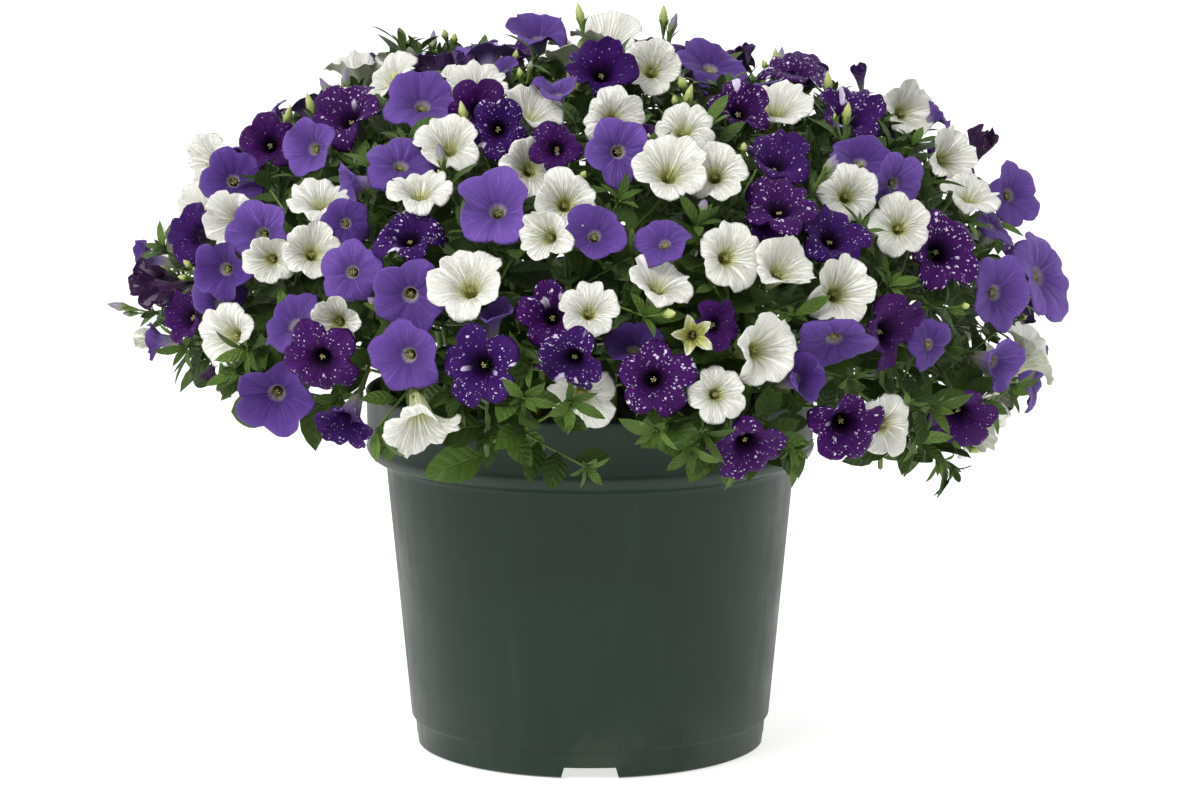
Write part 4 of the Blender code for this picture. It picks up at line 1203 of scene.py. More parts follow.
def bloom_sheets(kind, draw, down, form):
    """The petal surface of one bloom in radii, front then back: points, faces and each point's place."""
    closed, wilted, star = form[:3]
    columns = LOBES * LOBE_STEPS
    half = LOBE_STEPS // 2
    number = np.arange(columns)
    angle = round_angles(columns)
    across_lobe = ((number + half) % LOBE_STEPS - half) / half
    off = np.abs(across_lobe)
    lobe = ((number + half) // LOBE_STEPS) % LOBES
    lobe_size = np.array([draw.uniform(*LOBE_SIZES) for _ in range(LOBES)])
    lobe_bend = np.array([draw.uniform(*LOBE_BEND[kind]) for _ in range(LOBES)])
    if draw.random() < FOLDED_SHARE:
        lobe_bend[draw.randrange(LOBES)] -= draw.uniform(*FOLDED_BACK)
    lobe_skew = np.array([draw.uniform(-LOBE_SKEW, LOBE_SKEW) for _ in range(LOBES)])
    phases = [draw.uniform(0, 2 * math.pi) for _ in range(7)]
    ruffle = RUFFLE[kind] * draw.uniform(*RUFFLE_SPREAD) * (WILTED_RUFFLE if wilted else 1.0)
    cup = draw.uniform(*CUP[kind])
    saddle = draw.uniform(*SADDLE)
    sag = draw.uniform(*SAG)
    halves = draw.choice(HALVES_FOLDED)
    deepest = STAR_NOTCH if star else FINE_NOTCH[kind]
    notch = 1 - (1 - deepest) * off ** (1.0 if star else NOTCH_POWER[kind])
    edge = notch * (1 + (lobe_size[lobe] - 1) * np.minimum(1.0, (1 - off) * 3))
    edge = edge + 0.4 * ruffle * np.sin(9 * angle + phases[0]) * np.minimum(1.0, (1 - off) * 4)
    if kind == "violet":
        edge = edge + ridge(*VIOLET_POINT, across_lobe)
    if kind == "white" and not star:
        edge = edge - ridge(*WHITE_DENT, across_lobe)
    middle = np.cos(across_lobe * math.pi / 2) ** 2
    crease = ridge(*MIDDLE_CREASE, across_lobe) + ridge(*SEAM_CREASE, 1 - off)
    lean = down[0] * np.cos(angle) + down[1] * np.sin(angle)

    def ring_points(share, height, sink):
        radius = share * (1 + (edge - 1) * smooth_step(*EDGE_FADE, share))
        outer = share**3
        rise = (lobe_bend[lobe] * middle + cup) * share**2.2 - sag * lean * share**2
        rise = rise + (saddle * np.sin(2 * angle + phases[1]) + 0.035 * np.sin(3 * angle + phases[2])) * outer
        rise = rise + halves * np.abs(np.cos(angle + phases[5])) ** 1.5 * share**1.6
        rise = np.clip(rise + CLOSING_RISE * closed * share**1.3, -MOST_RISE, MOST_RISE)
        radius = radius * (1 - SHORTENING * rise**2)
        wrinkle = np.sin(11 * angle + phases[3]) + 0.6 * np.sin(17 * angle + phases[4])
        rise = rise + ruffle * wrinkle * smooth_step(0.50, 1.0, share) + 0.075 * off**1.5 * outer
        window = smooth_step(0.16, 0.34, share) * (1 - 0.55 * smooth_step(0.80, 1.0, share))
        turned_by = angle + lobe_skew[lobe] * middle * outer + closed * 0.5 * share * math.sin(phases[6])
        z = height + rise - crease * window - sink
        return turned_row(radius, turned_by, z)

    def place_row(share, behind):
        return turned_row(share * (STAR_PALE if star else 1.0), angle, behind)

    shares, heights = zip(*LIMB[kind])
    rows = [ring_points(share, height, 0.0) for share, height in LIMB[kind]][::-1]
    places = [place_row(share, 0.0) for share in shares][::-1]
    for share in OUTSIDE:
        height = float(np.interp(share, shares[::-1], heights[::-1]))
        rows.append(ring_points(share, height, PETAL_SKIN))
        places.append(place_row(share, 1.0 - height))
    for radius, height in TUBE_WALL:
        ribbed = radius * (1 + 0.07 * np.cos(LOBES * angle))
        rows.append(turned_row(ribbed, angle, height))
        places.append(place_row(radius, 1.0 - height))
    faces = sheet_faces(len(rows), columns, closed=True)[:, ::-1]
    hub = len(rows) * columns
    points = np.vstack([*rows, [[0.0, 0.0, rows[0][0, 2] - 0.05]]])
    places = np.vstack([*places, [[0.0, 0.0, 0.0]]])
    fan = np.stack([np.full(columns, hub), number, (number + 1) % columns], axis=-1)
    return points, (faces, fan), places


def hairs(heap, path, radius, count, draw):
    """Short soft hairs that stand off a stem."""
    chance = np.random.default_rng(draw.randrange(2**30))
    path = as_array(path)
    place = chance.random(count) * (len(path) - 1.001)
    index = place.astype(int)
    ahead = path[index + 1] - path[index]
    spot = path[index] + ahead * (place - index)[:, None]
    ahead = unit(ahead)
    out = unit(np.cross(ahead, chance.normal(size=(count, 3))))
    foot = spot + out * radius * 0.8
    tip = foot + out * (HAIR_LENGTH * chance.uniform(0.6, 1.3, count))[:, None]
    points = np.stack([foot - ahead * HAIR_WIDTH, foot + ahead * HAIR_WIDTH, tip], axis=1).reshape(-1, 3)
    faces = np.arange(count * 3).reshape(-1, 3)
    heap.add(points, faces, SLOT_GREEN, np.ones_like(points) * (0.6, 0.0, 0.0), 0.9)


def tube(heap, path, radii, sides, slot, lot, tip=True):
    """A round tube along a path, with a closed tip."""
    path = as_array(path)
    ahead = unit(np.gradient(path, axis=0))
    side = np.cross(ahead[0], HINT)
    angle = round_angles(sides)
    rows = []
    for spot, way, radius in zip(path, ahead, radii):
        other = np.cross(way, side)
        other /= max(np.linalg.norm(other), 1e-9)
        side = np.cross(other, way)
        rows.append(spot + (np.cos(angle)[:, None] * side + np.sin(angle)[:, None] * other) * radius)
    points = np.concatenate(rows)
    heap.add(points, sheet_faces(len(rows), sides, closed=True), slot, round_places(len(rows), sides), lot)
    if tip:
        last = np.arange(sides)
        cap = np.vstack([rows[-1], path[-1] + ahead[-1] * radii[-1] * 0.8])
        fan = np.stack([last, (last + 1) % sides, np.full(sides, sides)], axis=-1)
        heap.add(cap, fan, slot, np.ones((sides + 1, 3)) * (1, 0, 0), lot)


def bezier(a, b, c, steps):
    return [a.lerp(b, t).lerp(b.lerp(c, t), t) for t in np.linspace(0, 1, steps + 1)]


def blade(
    heap, root, direction, face_up, length, width, slot, draw,
    shape="leaf", rows=LEAF_ROWS, columns=LEAF_COLUMNS,
):
    """A leaf, bract or sepal: a folded and bowed blade with two skins that meet at its edge."""
    side = direction.cross(face_up).normalized()
    up = side.cross(direction).normalized()
    axes = as_array((direction, side, up))
    along = np.linspace(0.0, 1.0, rows + 1)[:, None]
    over = np.linspace(-1.0, 1.0, columns + 1)[None, :]
    aside = np.abs(over)
    if shape == "leaf":
        stretch = np.clip((along - LEAF_STALK) / (1 - LEAF_STALK), 0, 1)
        outline = LEAF_STALK_WIDTH + (1 - LEAF_STALK_WIDTH) * np.sin(math.pi * stretch**0.85) ** 0.80
        outline[along <= LEAF_STALK] = LEAF_STALK_WIDTH
    else:
        outline = 0.35 + 0.65 * np.sin(math.pi * np.clip(along * 0.85 + 0.12, 0, 1)) ** 0.8
    outline[-1] = 0.0
    twist = draw.uniform(*BLADE_TWIST)
    droop = draw.uniform(*BLADE_DROOP)
    bend = draw.uniform(*BLADE_BEND)
    fold = draw.uniform(*BLADE_FOLD)
    wave = draw.uniform(*BLADE_WAVE)
    phase = draw.uniform(0, 6)
    rib = (0.19 * along - 0.25 * along**2) - droop * along**2
    grid = np.zeros((rows + 1, columns + 1, 3))
    half = width / 2 * outline * over
    lift = rib * length + fold * width * outline * aside**1.3
    lift = lift + wave * length * np.sin(9 * along + phase) * aside * outline
    angle = twist * along
    grid[..., 0] = along * length
    grid[..., 1] = half * np.cos(angle) - lift * np.sin(angle) * 0.5 + bend * length * along**2
    grid[..., 2] = lift + half * np.sin(angle)
    skin = BLADE_SKIN * (1 - aside**4) * (1 - along**6)
    top, under = grid.copy(), grid.copy()
    top[..., 2] += skin
    under[..., 2] -= skin
    places = np.stack(np.broadcast_arrays(along, over, 0.0), axis=-1).reshape(-1, 3)
    world = np.array(tuple(root))
    lot = draw.random()
    faces = sheet_faces(rows + 1, columns + 1, closed=False)
    heap.add(top.reshape(-1, 3) @ axes + world, faces, slot, places, lot)
    behind = places.copy()
    behind[:, 2] = 1.0
    heap.add(under.reshape(-1, 3) @ axes + world, faces[:, ::-1], slot, behind, lot)


def pod(heap, centre, direction, length, width, slot, lot, sides=8, rows=7, power=0.75, twist=0.0, flute=0.0):
    """A rounded spindle, as of a bud, an anther or a clod."""
    side, other = across(direction, Vector((0.13, 0.27, 0.9)))
    axes = as_array((side, other, direction))
    along = np.linspace(0, 1, rows + 1)
    radius = width / 2 * np.sin(math.pi * np.clip(along, 0.02, 0.98) ** power)
    angle = round_angles(sides)
    rows_of = []
    for share, wide in zip(along, radius):
        turned_by = angle + twist * share
        ribbed = wide * (1 + flute * np.cos(LOBES * turned_by))
        rows_of.append(turned_row(ribbed, turned_by, share * length))
    points = np.concatenate(rows_of) @ axes + np.array(tuple(centre))
    heap.add(points, sheet_faces(rows + 1, sides, closed=True), slot, round_places(rows + 1, sides), lot)


def shape_petals(head, draw, form, shrink):
    """The petals of one bloom, where it stands."""
    kind, centre, facing, turn, radius, _ = head
    if not form.small:
        radius = min(max(radius * FINE_SCALE, FINE_LEAST), FINE_MOST)
        radius = radius * draw.uniform(*FINE_SPREAD) * form.size * shrink
    facing = (facing + scatter(draw, TILT)).normalized()
    axes = frame_of(facing, turn)
    down = axes @ (0.0, 0.0, -1.0)
    points, faces, places = bloom_sheets(kind, draw, down, form)
    lot = draw.random()
    lot = (lot if form.tint is None else form.tint) + (2.0 if form.wilted else 0.0)
    return Petals(points * radius @ axes + np.array(tuple(centre)), faces, places, facing, radius, lot)


def fine_bloom(heap, head, petals, draw):
    """One bloom with its throat, anthers, sepals and stalk."""
    kind, centre, _, turn, _, root = head
    points, faces, places, facing, radius, lot = petals
    heap.add(points, faces, SLOT_PETAL, places, lot)
    # anthers round the stigma
    throat = centre - facing * radius * (0.26 if kind == "violet" else 0.36)
    side, other = across(facing, UP)
    for index in range(LOBES):
        angle = turn + index * 2 * math.pi / LOBES + draw.uniform(-0.3, 0.3)
        spot = throat + turned(side, other, angle) * ANTHER_RING
        spot = spot + facing * draw.uniform(-ANTHER_STEP, ANTHER_STEP)
        pod(heap, spot - facing * ANTHER_STEP, facing, *ANTHER_SIZE, SLOT_ANTHER, lot, 5, 3, 1.0)
    pod(heap, throat - facing * 0.0010, facing, *STIGMA_SIZE, SLOT_ANTHER, 0.9, 6, 3, 0.8)
    # five narrow sepals spread from the tube's foot
    foot = centre - facing * TUBE_LENGTH
    for index in range(LOBES):
        angle = turn + (index + 0.5) * 2 * math.pi / LOBES
        out = turned(side, other, angle)
        spread = draw.uniform(0.22, 0.62)
        direction = turned(facing, out, spread).normalized()
        length = draw.uniform(*SEPAL_LENGTHS)
        base = foot + out * CALYX_RADIUS * 0.5
        blade(heap, base, direction, out * -1.0, length, SEPAL_WIDTH, SLOT_GREEN, draw, *SEPAL)
    pod(heap, foot - facing * 0.0012, facing, 0.0062, CALYX_RADIUS * 2.9, SLOT_GREEN, lot, 8, 4, 0.6)
    # stalk
    length = (root - foot).length
    bend = foot - facing * length * STALK_BEND
    path = bezier(foot, bend, root, FINE_TUBE_RINGS)
    radii = np.interp(np.linspace(0, 1, len(path)), (0, 0.15, 1), (CALYX_RADIUS, STALK_RADIUS, STALK_RADIUS))
    tube(heap, path, radii, 6, SLOT_GREEN, draw.random(), tip=False)
    hairs(heap, path, STALK_RADIUS, int(length * STALK_HAIRS), draw)


def fine_stem(heap, shoot, draw):
    """The shoot's stem, smooth and jointed at its leaf nodes, up to a soft tip."""
    path = [shoot.path[0], *smooth_path(shoot.path[1:], FINE_STEM_STEPS)]
    count = len(path)
    radii = []
    for index in range(count):
        share = index / (count - 1)
        joint = 1.0 + (JOINT_SWELL if index % JOINT_STEPS == 0 and index > 2 else 0.0)
        radii.append((STEM_RADIUS + share * (STEM_TIP_RADIUS - STEM_RADIUS)) * joint * WITHIN_STEM)
    tube(heap, path, radii, TUBE_SIDES, SLOT_GREEN, draw.random())
    hairs(heap, path, STEM_RADIUS, STEM_HAIRS, draw)


class Twig:
    """A thin side shoot: its line, its leaves and what its tip carries."""

    def __init__(self, path, buds_wanted):
        self.path, self.buds_wanted = path, buds_wanted
        self.leaves, self.young, self.buds = [], [], []


def thin_tube(path, radius):
    """A three-sided tube without ends, for testing what a side shoot or bud would meet."""
    points, faces, last = [], [], None
    side, _ = across((path[1] - path[0]).normalized(), Vector(HINT))
    for index, spot in enumerate(path):
        way = (path[min(index + 1, len(path) - 1)] - path[max(index - 1, 0)]).normalized()
        other = way.cross(side).normalized()
        side = other.cross(way)
        following = ring(points, spot, side, other, radius, 3)
        if last:
            faces += stitch(last, following)
        last = following
    return points, faces


def open_spots(blooms):
    """Places just under the mound's surface that lie between the blooms."""
    draw = random.Random(SEED + 1)
    for x, y in FRINGE:
        yield seen_point(x, y)
    centres = as_array(centre for centre, _ in blooms)
    radii = np.array([radius for _, radius in blooms])
    taken = []
    for polar, azimuth in spiral_ways(GAP_POINTS, GAP_REACH, GAP_START):
        if polar > edge_polar(azimuth) + GAP_EDGE:
            continue
        spot = on_mound(polar, azimuth, draw.uniform(*GAP_DEPTHS))
        if spot.z < POT_HEIGHT + 0.010 and math.hypot(spot.x, spot.y) < RIM_RADIUS + CLEAR_OF_POT:
            continue
        here = np.array(tuple(spot))
        if np.min(np.linalg.norm(centres - here, axis=1) - radii * 0.80) < 0.004:
            continue
        if taken and min((spot - other).length for other in taken) < GAP_SPACING:
            continue
        taken.append(spot)
        yield spot


def try_leaf(crowd, shoot, root, direction, face_up, length, width, names):
    """A small leaf's place and size if nothing but the named solids is in its way, or None."""
    if abs(direction.dot(face_up)) > SMALL_LEAF_EDGE_ON:
        return None
    test = leaf_mesh(root, direction, face_up, length * TESTED_LENGTH, width * TESTED_WIDTH)
    if crowd.touches(*test, apart_from=names):
        return None
    crowd.add(shoot.name + "_blade", *test)
    return root, direction, face_up, length, width


def leaves_along(crowd, shoot, path, shares, longest, draw, names):
    """Leaves set in turn round a line, shorter towards its end."""
    found = []
    around = draw.uniform(0, 2 * math.pi)
    for share in shares:
        place = share * (len(path) - 1)
        index = min(int(place), len(path) - 2)
        root = path[index].lerp(path[index + 1], place - index)
        way = (path[index + 1] - path[index]).normalized()
        side, other = across(way, Vector(HINT))
        outward = mound_normal(root)
        around += LEAF_TURN
        for attempt in range(LEAF_WAYS):
            angle = around + attempt * LEAF_WAY_STEP
            out = turned(side, other, angle)
            direction = (out + way * draw.uniform(0.15, 0.7) + outward * draw.uniform(0.0, 0.5)).normalized()
            length = longest * (1 - 0.45 * share) * draw.uniform(0.72, 1.05)
            face_up = (outward * draw.uniform(0.5, 1.0) + Vector((0, 0, 0.7)) + way * 0.2).normalized()
            width = length * draw.uniform(*SMALL_LEAF_WIDTHS)
            leaf = try_leaf(crowd, shoot, root, direction, face_up, length, width, names)
            if leaf:
                found.append(leaf)
                break
    return found


def settle_blooms(shoots, crowd):
    """Shapes the petals of each bloom, trying again or smaller where they would cut through another's."""
    placed = Crowd()
    for shoot in shoots:
        shoot.petals = []
        for index, head in enumerate(shoot.heads):
            form = shoot.forms.get(index, OPEN_FORM)
            for attempt, shrink in enumerate(SHRINKS):
                draw = random.Random(f"petals {SEED} {shoot.name} {index} {attempt}")
                petals = shape_petals(head, draw, form, shrink)
                outline = petals.points.tolist(), [face for group in petals.faces for face in group.tolist()]
                if not placed.meets(*outline):
                    break
            placed.add("petals", *outline)
            crowd.add("petals", *outline)
            shoot.petals.append(petals)
    return placed


def trim_blades(shoots, placed):
    """Shortens each of the frame's leaves that would stick through petals."""
    for shoot in shoots:
        for index, (root, direction, face_up, length, width) in enumerate(shoot.blades):
            for share in BLADE_SHARES:
                tested = leaf_mesh(root, direction, face_up, length * share, width * share * TESTED_WIDTH)
                if not placed.meets(*tested):
                    break
            shoot.blades[index] = (root, direction, face_up, length * share, width * share)


def grow_tip(twig, placed, draw):
    """The young leaves and buds at a side shoot's end, where no petal is in their way."""
    tip = twig.path[-1]
    way = (twig.path[-1] - twig.path[-2]).normalized()
    hanging = mound_angles(tip)[0] > MOST_SEEN_FROM_EDGE
    way = (way + mound_normal(tip) * 0.5 + UP * (-0.5 if hanging else 0.3)).normalized()
    side, other = across(way, TIP_HINT)
    count = LEAVES_BY_BUDS if twig.buds_wanted else LEAVES_AT_TIP
    start = draw.uniform(0, 6)
    for index in range(count):
        angle = start + index * LEAF_TURN
        out = turned(side, other, angle)
        spread = 0.35 + 0.75 * (1 - index / count) + draw.uniform(-0.1, 0.1)
        direction = turned(way, out, spread).normalized()
        length = draw.uniform(0.013, 0.026) * (1.15 - 0.5 * index / count)
        face_up = (way - out * 0.4).normalized()
        width = length * draw.uniform(*YOUNG_LEAF_WIDTHS)
        leaf = (tip - way * 0.001 * index, direction, face_up, length, width)
        if not placed.meets(*leaf_mesh(*leaf)):
            twig.young.append(leaf)
    for index in range(draw.choice(BUD_COUNTS) if twig.buds_wanted else 0):
        angle = start + index * 2.1
        out = turned(side, other, angle)
        direction = (way + out * draw.uniform(0.1, 0.55)).normalized()
        stalk, length = draw.uniform(*BUD_STALKS), draw.choice(BUD_LENGTHS)
        line = [tip, tip + direction * stalk, tip + direction * (stalk + length)]
        if not placed.meets(*thin_tube(line, BUD_CLEARANCE)):
            twig.buds.append((tip, direction, stalk, length))


def grow_twigs(shoots, crowd, placed, blooms):
    """A side shoot towards each open spot, by the clearest short way from a stem."""
    routes = stem_points(shoots)
    for number, spot in enumerate(open_spots(blooms)):
        draw = random.Random(f"twig {SEED} {number}")

        def length_of(route):
            return (route[1] - spot).length + CROWDED_TWIG * len(route[0].twigs)

        for shoot, root in sorted(routes, key=length_of)[:TWIG_ROUTES]:
            span = (spot - root).length
            if span > LONGEST_TWIG:
                break
            outward = (mound_normal(spot) + Vector((0, 0, 0.35))).normalized()
            sway = Vector([draw.uniform(-0.1, 0.1) * span for _ in range(3)])
            middle = root.lerp(spot, 0.5) - outward * span * 0.10 + sway
            path = bezier(root, middle, spot, 7)
            tube_test = thin_tube(path, TWIG_RADIUS * 1.6)
            if crowd.touches(*tube_test, apart_from=(shoot.name,)):
                continue
            crowd.add(f"twig_{number}", *tube_test)
            twig = Twig(path, number >= len(FRINGE) and draw.random() < BUD_SHARE)
            grow_tip(twig, placed, draw)
            shares = LONG_TWIG_SHARES if span > LONG_TWIG else SHORT_TWIG_SHARES
            names = (shoot.name, f"twig_{number}")
            twig.leaves = leaves_along(crowd, shoot, path, shares, TWIG_LEAF, draw, names)
            shoot.twigs.append(twig)
            break


def grow_deep_leaves(shoots, crowd):
    """Pairs of leaves along every stem, down among the stalks."""
    for shoot in shoots:
        draw = random.Random(f"deep {SEED} {shoot.name}")
        path = shoot.path[2:]
        length = sum((b - a).length for a, b in zip(path, path[1:]))
        count = int(length / DEEP_SPACING)
        shares = [(index + draw.uniform(0.2, 0.8)) / count for index in range(count)]
        longest = SHOOT_LEAF if shoot.kind == "leaf" else SPRAY_LEAF
        shoot.deep = leaves_along(crowd, shoot, path, shares, longest, draw, (shoot.name,))


def grow_stalk_leaves(shoots, crowd):
    """A small pair of leaves where each flower stalk leaves its stem."""
    for shoot in shoots:
        draw = random.Random(f"pair {SEED} {shoot.name}")
        shoot.pairs = []
        for _, centre, facing, _, _, root in shoot.heads:
            foot = centre - facing * TUBE_LENGTH
            length = (root - foot).length
            path = bezier(root, foot - facing * length * STALK_BEND, foot, 8)
            names = (shoot.name, shoot.name + "_growth")
            shoot.pairs += leaves_along(crowd, shoot, path, STALK_LEAF_SHARES, STALK_LEAF, draw, names)


def give_forms(shoots):
    """Sets the form of each bloom that isn't open flat, and adds the small ones along the edge."""
    heads = [(shoot, index) for shoot in shoots for index in range(len(shoot.heads))]
    for shoot in shoots:
        shoot.forms = {}
    for x, y, closed, wilted in BLOOM_FORMS:
        place = seen_point(x, y)
        shoot, index = min(heads, key=lambda head: (head[0].heads[head[1]][1] - place).length)
        if (shoot.heads[index][1] - place).length < NEAR_BLOOM:
            shoot.forms[index] = Form(closed, wilted)
    for shoot in shoots:
        for index, closed, *rest in NAMED_FORMS.get(shoot.name, ()):
            form = Form(closed, False, False, False, *rest)
            shoot.forms[index] = form
            if form.way:
                kind, centre, _, *others = shoot.heads[index]
                shoot.heads[index] = (kind, centre, seen_way(form.way), *others)
    for kind, x, y, size, way, *form in (*EDGE_BLOOMS, (*STAR_BLOOM, 0.22, False)):
        facing = seen_way(way)
        centre = seen_point(x, y) + facing * (STAR_LIFT if kind == "white" else 0.0)
        foot = centre - facing * TUBE_LENGTH
        routes = stem_points(shoot for shoot in shoots if shoot.kind == kind)
        shoot, root = min(routes, key=lambda route: (route[1] - foot).length)
        shoot.forms[len(shoot.heads)] = Form(*form, kind == "white", True)
        radius = size * VIEW_DISTANCE / VIEW_SCALE
        shoot.heads.append((kind, centre, facing, 0.0, radius, root))


def dress_shoots(shoots, crowd):
    """Shapes the blooms, then grows the side shoots and small leaves that are clear of them."""
    give_forms(shoots)
    placed = settle_blooms(shoots, crowd)
    trim_blades(shoots, placed)
    blooms = [(head[1], head[4]) for shoot in shoots for head in shoot.heads]
    for shoot in shoots:
        shoot.twigs = []
    grow_twigs(shoots, crowd, placed, blooms)
    grow_stalk_leaves(shoots, crowd)
    grow_deep_leaves(shoots, crowd)


def bud(heap, root, direction, length, draw):
    """A closed bud in its sepals: a spindle, fluted and twisted where it is about to open."""
    lot = draw.random()
    side, other = across(direction, TIP_HINT)
    grown = length > BUD_OPENS
    width = length * (0.27 if grown else 0.42)
    pod(heap, root, direction, length, width, SLOT_BUD, lot, 10, 8, 1.25, 2.2, 0.16)
    for index in range(5):
        angle = index * 2 * math.pi / 5 + lot * 6
        out = turned(side, other, angle)
        spread = draw.uniform(0.10, 0.40)
        way = turned(direction, out, spread).normalized()
        base, sepal = root + out * 0.0008, max(0.006, length * 0.62)
        blade(heap, base, way, out * -1.0, sepal, BUD_SEPAL_WIDTH, SLOT_GREEN, draw, *SEPAL)


def fine_twig(heap, twig, draw):
    """A side shoot with its hairs, leaves and buds."""
    count = len(twig.path)
    radii = np.linspace(TWIG_RADIUS * 1.25, TWIG_RADIUS * 0.8, count)
    tube(heap, twig.path, radii, 6, SLOT_GREEN, draw.random())
    hairs(heap, twig.path, TWIG_RADIUS, TWIG_HAIRS, draw)
    for leaf in twig.leaves:
        blade(heap, *leaf, SLOT_LEAF, draw, "leaf", *TWIG_LEAF_GRID)
    for leaf in twig.young:
        blade(heap, *leaf, SLOT_YOUNG, draw, "leaf", *YOUNG_LEAF_GRID)
    for tip, direction, stalk, length in twig.buds:
        foot = tip + direction * stalk
        tube(heap, [tip, tip.lerp(foot, 0.5), foot], (0.0007, 0.0007, 0.0008), 5, SLOT_GREEN, 0.5, tip=False)
        bud(heap, foot, direction, length, draw)


def dress_piece(shoot):
    """The piece that stands for one shoot's node."""
    draw = random.Random(f"fine {SEED} {shoot.name}")
    heap = Heap()
    fine_stem(heap, shoot, draw)
    for head, petals in zip(shoot.heads, shoot.petals):
        fine_bloom(heap, head, petals, draw)
    for leaf in shoot.blades:
        blade(heap, *leaf, SLOT_LEAF, draw)
    for leaf in [*shoot.deep, *shoot.pairs]:
        blade(heap, *leaf, SLOT_LEAF, draw, "leaf", *SMALL_LEAF_GRID)
    for twig in shoot.twigs:
        fine_twig(heap, twig, draw)
    return heap


class Wire:
    """A value in a node tree. Sums, products and the calls below add the nodes that work them out."""

    def __init__(self, nodes, socket):
        self.nodes, self.socket = nodes, socket

    def __add__(self, other):
        return self.nodes.math("ADD", self, other)

    def __sub__(self, other):
        return self.nodes.math("SUBTRACT", self, other)

    def __rsub__(self, other):
        return self.nodes.math("SUBTRACT", other, self)

    def __mul__(self, other):
        return self.nodes.math("MULTIPLY", self, other)

    def __truediv__(self, other):
        return self.nodes.math("DIVIDE", self, other)

    def __abs__(self):
        return self.nodes.math("ABSOLUTE", self)

    def fraction(self):
        return self.nodes.math("FRACT", self)

    def at_least(self, other):
        return self.nodes.math("MAXIMUM", self, other)

    def parts(self, kind="ShaderNodeSeparateXYZ"):
        node = self.nodes.add(kind)
        self.nodes.feed(node.inputs[0], self)
        return [Wire(self.nodes, socket) for socket in node.outputs]

    def step(self, low, high, start=0.0, end=1.0):
        """Goes smoothly from start to end while the value goes from low to high."""
        node = self.nodes.add("ShaderNodeMapRange", interpolation_type="SMOOTHSTEP")
        names = ("Value", "From Min", "From Max", "To Min", "To Max")
        for name, given in zip(names, (self, low, high, start, end)):
            self.nodes.feed(node.inputs[name], given)
        return Wire(self.nodes, node.outputs["Result"])

    def ramp(self, *stops):
        """Colours at given places of the value."""
        node = self.nodes.add("ShaderNodeValToRGB")
        ramp = node.color_ramp
        while len(ramp.elements) < len(stops):
            ramp.elements.new(0.5)
        for element, (position, colour) in zip(ramp.elements, stops):
            element.position = position
            element.color = (*colour, 1.0)
        self.nodes.feed(node.inputs["Fac"], self)
        return Wire(self.nodes, node.outputs["Color"])


class Nodes:
    """Short calls for wiring a tree of shader nodes."""

    def __init__(self, tree):
        self.tree = tree

    def add(self, kind, **settings):
        node = self.tree.nodes.new(kind)
        for name, value in settings.items():
            setattr(node, name, value)
        return node

    def feed(self, socket, value):
        """Gives a socket a value: another node's, a number, or a colour of three channels."""
        if isinstance(value, Wire):
            self.tree.links.new(value.socket, socket)
        else:
            socket.default_value = (*value, 1.0) if socket.type == "RGBA" else value

    def made_by(self, kind, output, inputs, **settings):
        """The named output of a new node with the given inputs."""
        node = self.add(kind, **settings)
        for name, value in inputs.items():
            self.feed(node.inputs[name], value)
        return Wire(self, node.outputs[output])

    def math(self, operation, a, b=0.0, clamp=False):
        return self.made_by("ShaderNodeMath", 0, {0: a, 1: b}, operation=operation, use_clamp=clamp)

    def mix(self, share, a, b):
        inputs = {"Factor": share, "A": a, "B": b}
        return self.made_by("ShaderNodeMix", "Result", inputs, data_type="RGBA", blend_type="MIX")

    def combine(self, x, y, z):
        return self.made_by("ShaderNodeCombineXYZ", "Vector", {0: x, 1: y, 2: z})

    def length(self, x, y):
        return self.math("SQRT", x * x + y * y)

    def noise(self, vector, scale, detail, roughness):
        inputs = {"Vector": vector, "Scale": scale, "Detail": detail, "Roughness": roughness}
        return self.made_by("ShaderNodeTexNoise", "Fac", inputs)

    def coordinates(self, kind="Object"):
        return Wire(self, self.add("ShaderNodeTexCoord").outputs[kind])

    def place(self):
        """Where a point lies in its own bloom, leaf or stem."""
        return Wire(self, self.add("ShaderNodeAttribute", attribute_name="place").outputs["Vector"])

    def lot(self):
        """The number that was drawn for the bloom, leaf or stem."""
        return Wire(self, self.add("ShaderNodeAttribute", attribute_name="lot").outputs["Fac"])

    def group(self, name, **inputs):
        """The outputs of a shared effect placed here with its own values."""
        node = self.add("ShaderNodeGroup")
        node.node_tree = shared_groups()[name]
        for name, value in inputs.items():
            self.feed(node.inputs[name], value)
        return {socket.name: Wire(self, socket) for socket in node.outputs}

    def mottle(self, scale, detail, contrast):
        return self.group("mottle", Scale=scale, Detail=detail, Contrast=contrast)["Value"]

    def close(self, **values):
        """Ends a group: makes its outputs, feeds them and returns its tree."""
        for name in values:
            self.tree.interface.new_socket(name, in_out="OUTPUT", socket_type="NodeSocketFloat")
        end = self.add("NodeGroupOutput")
        for name, value in values.items():
            self.feed(end.inputs[name], value)
        return self.tree


def new_group(name, **inputs):
    """A shader node group's wiring and its inputs by name. An input with no number is a vector."""
    tree = bpy.data.node_groups.new(name, "ShaderNodeTree")
    for socket_name, default in inputs.items():
        kind = "NodeSocketVector" if default is None else "NodeSocketFloat"
        socket = tree.interface.new_socket(socket_name, in_out="INPUT", socket_type=kind)
        if default is not None:
            socket.default_value = default
    nodes = Nodes(tree)
    start = nodes.add("NodeGroupInput")
    return nodes, {socket_name: Wire(nodes, start.outputs[socket_name]) for socket_name in inputs}


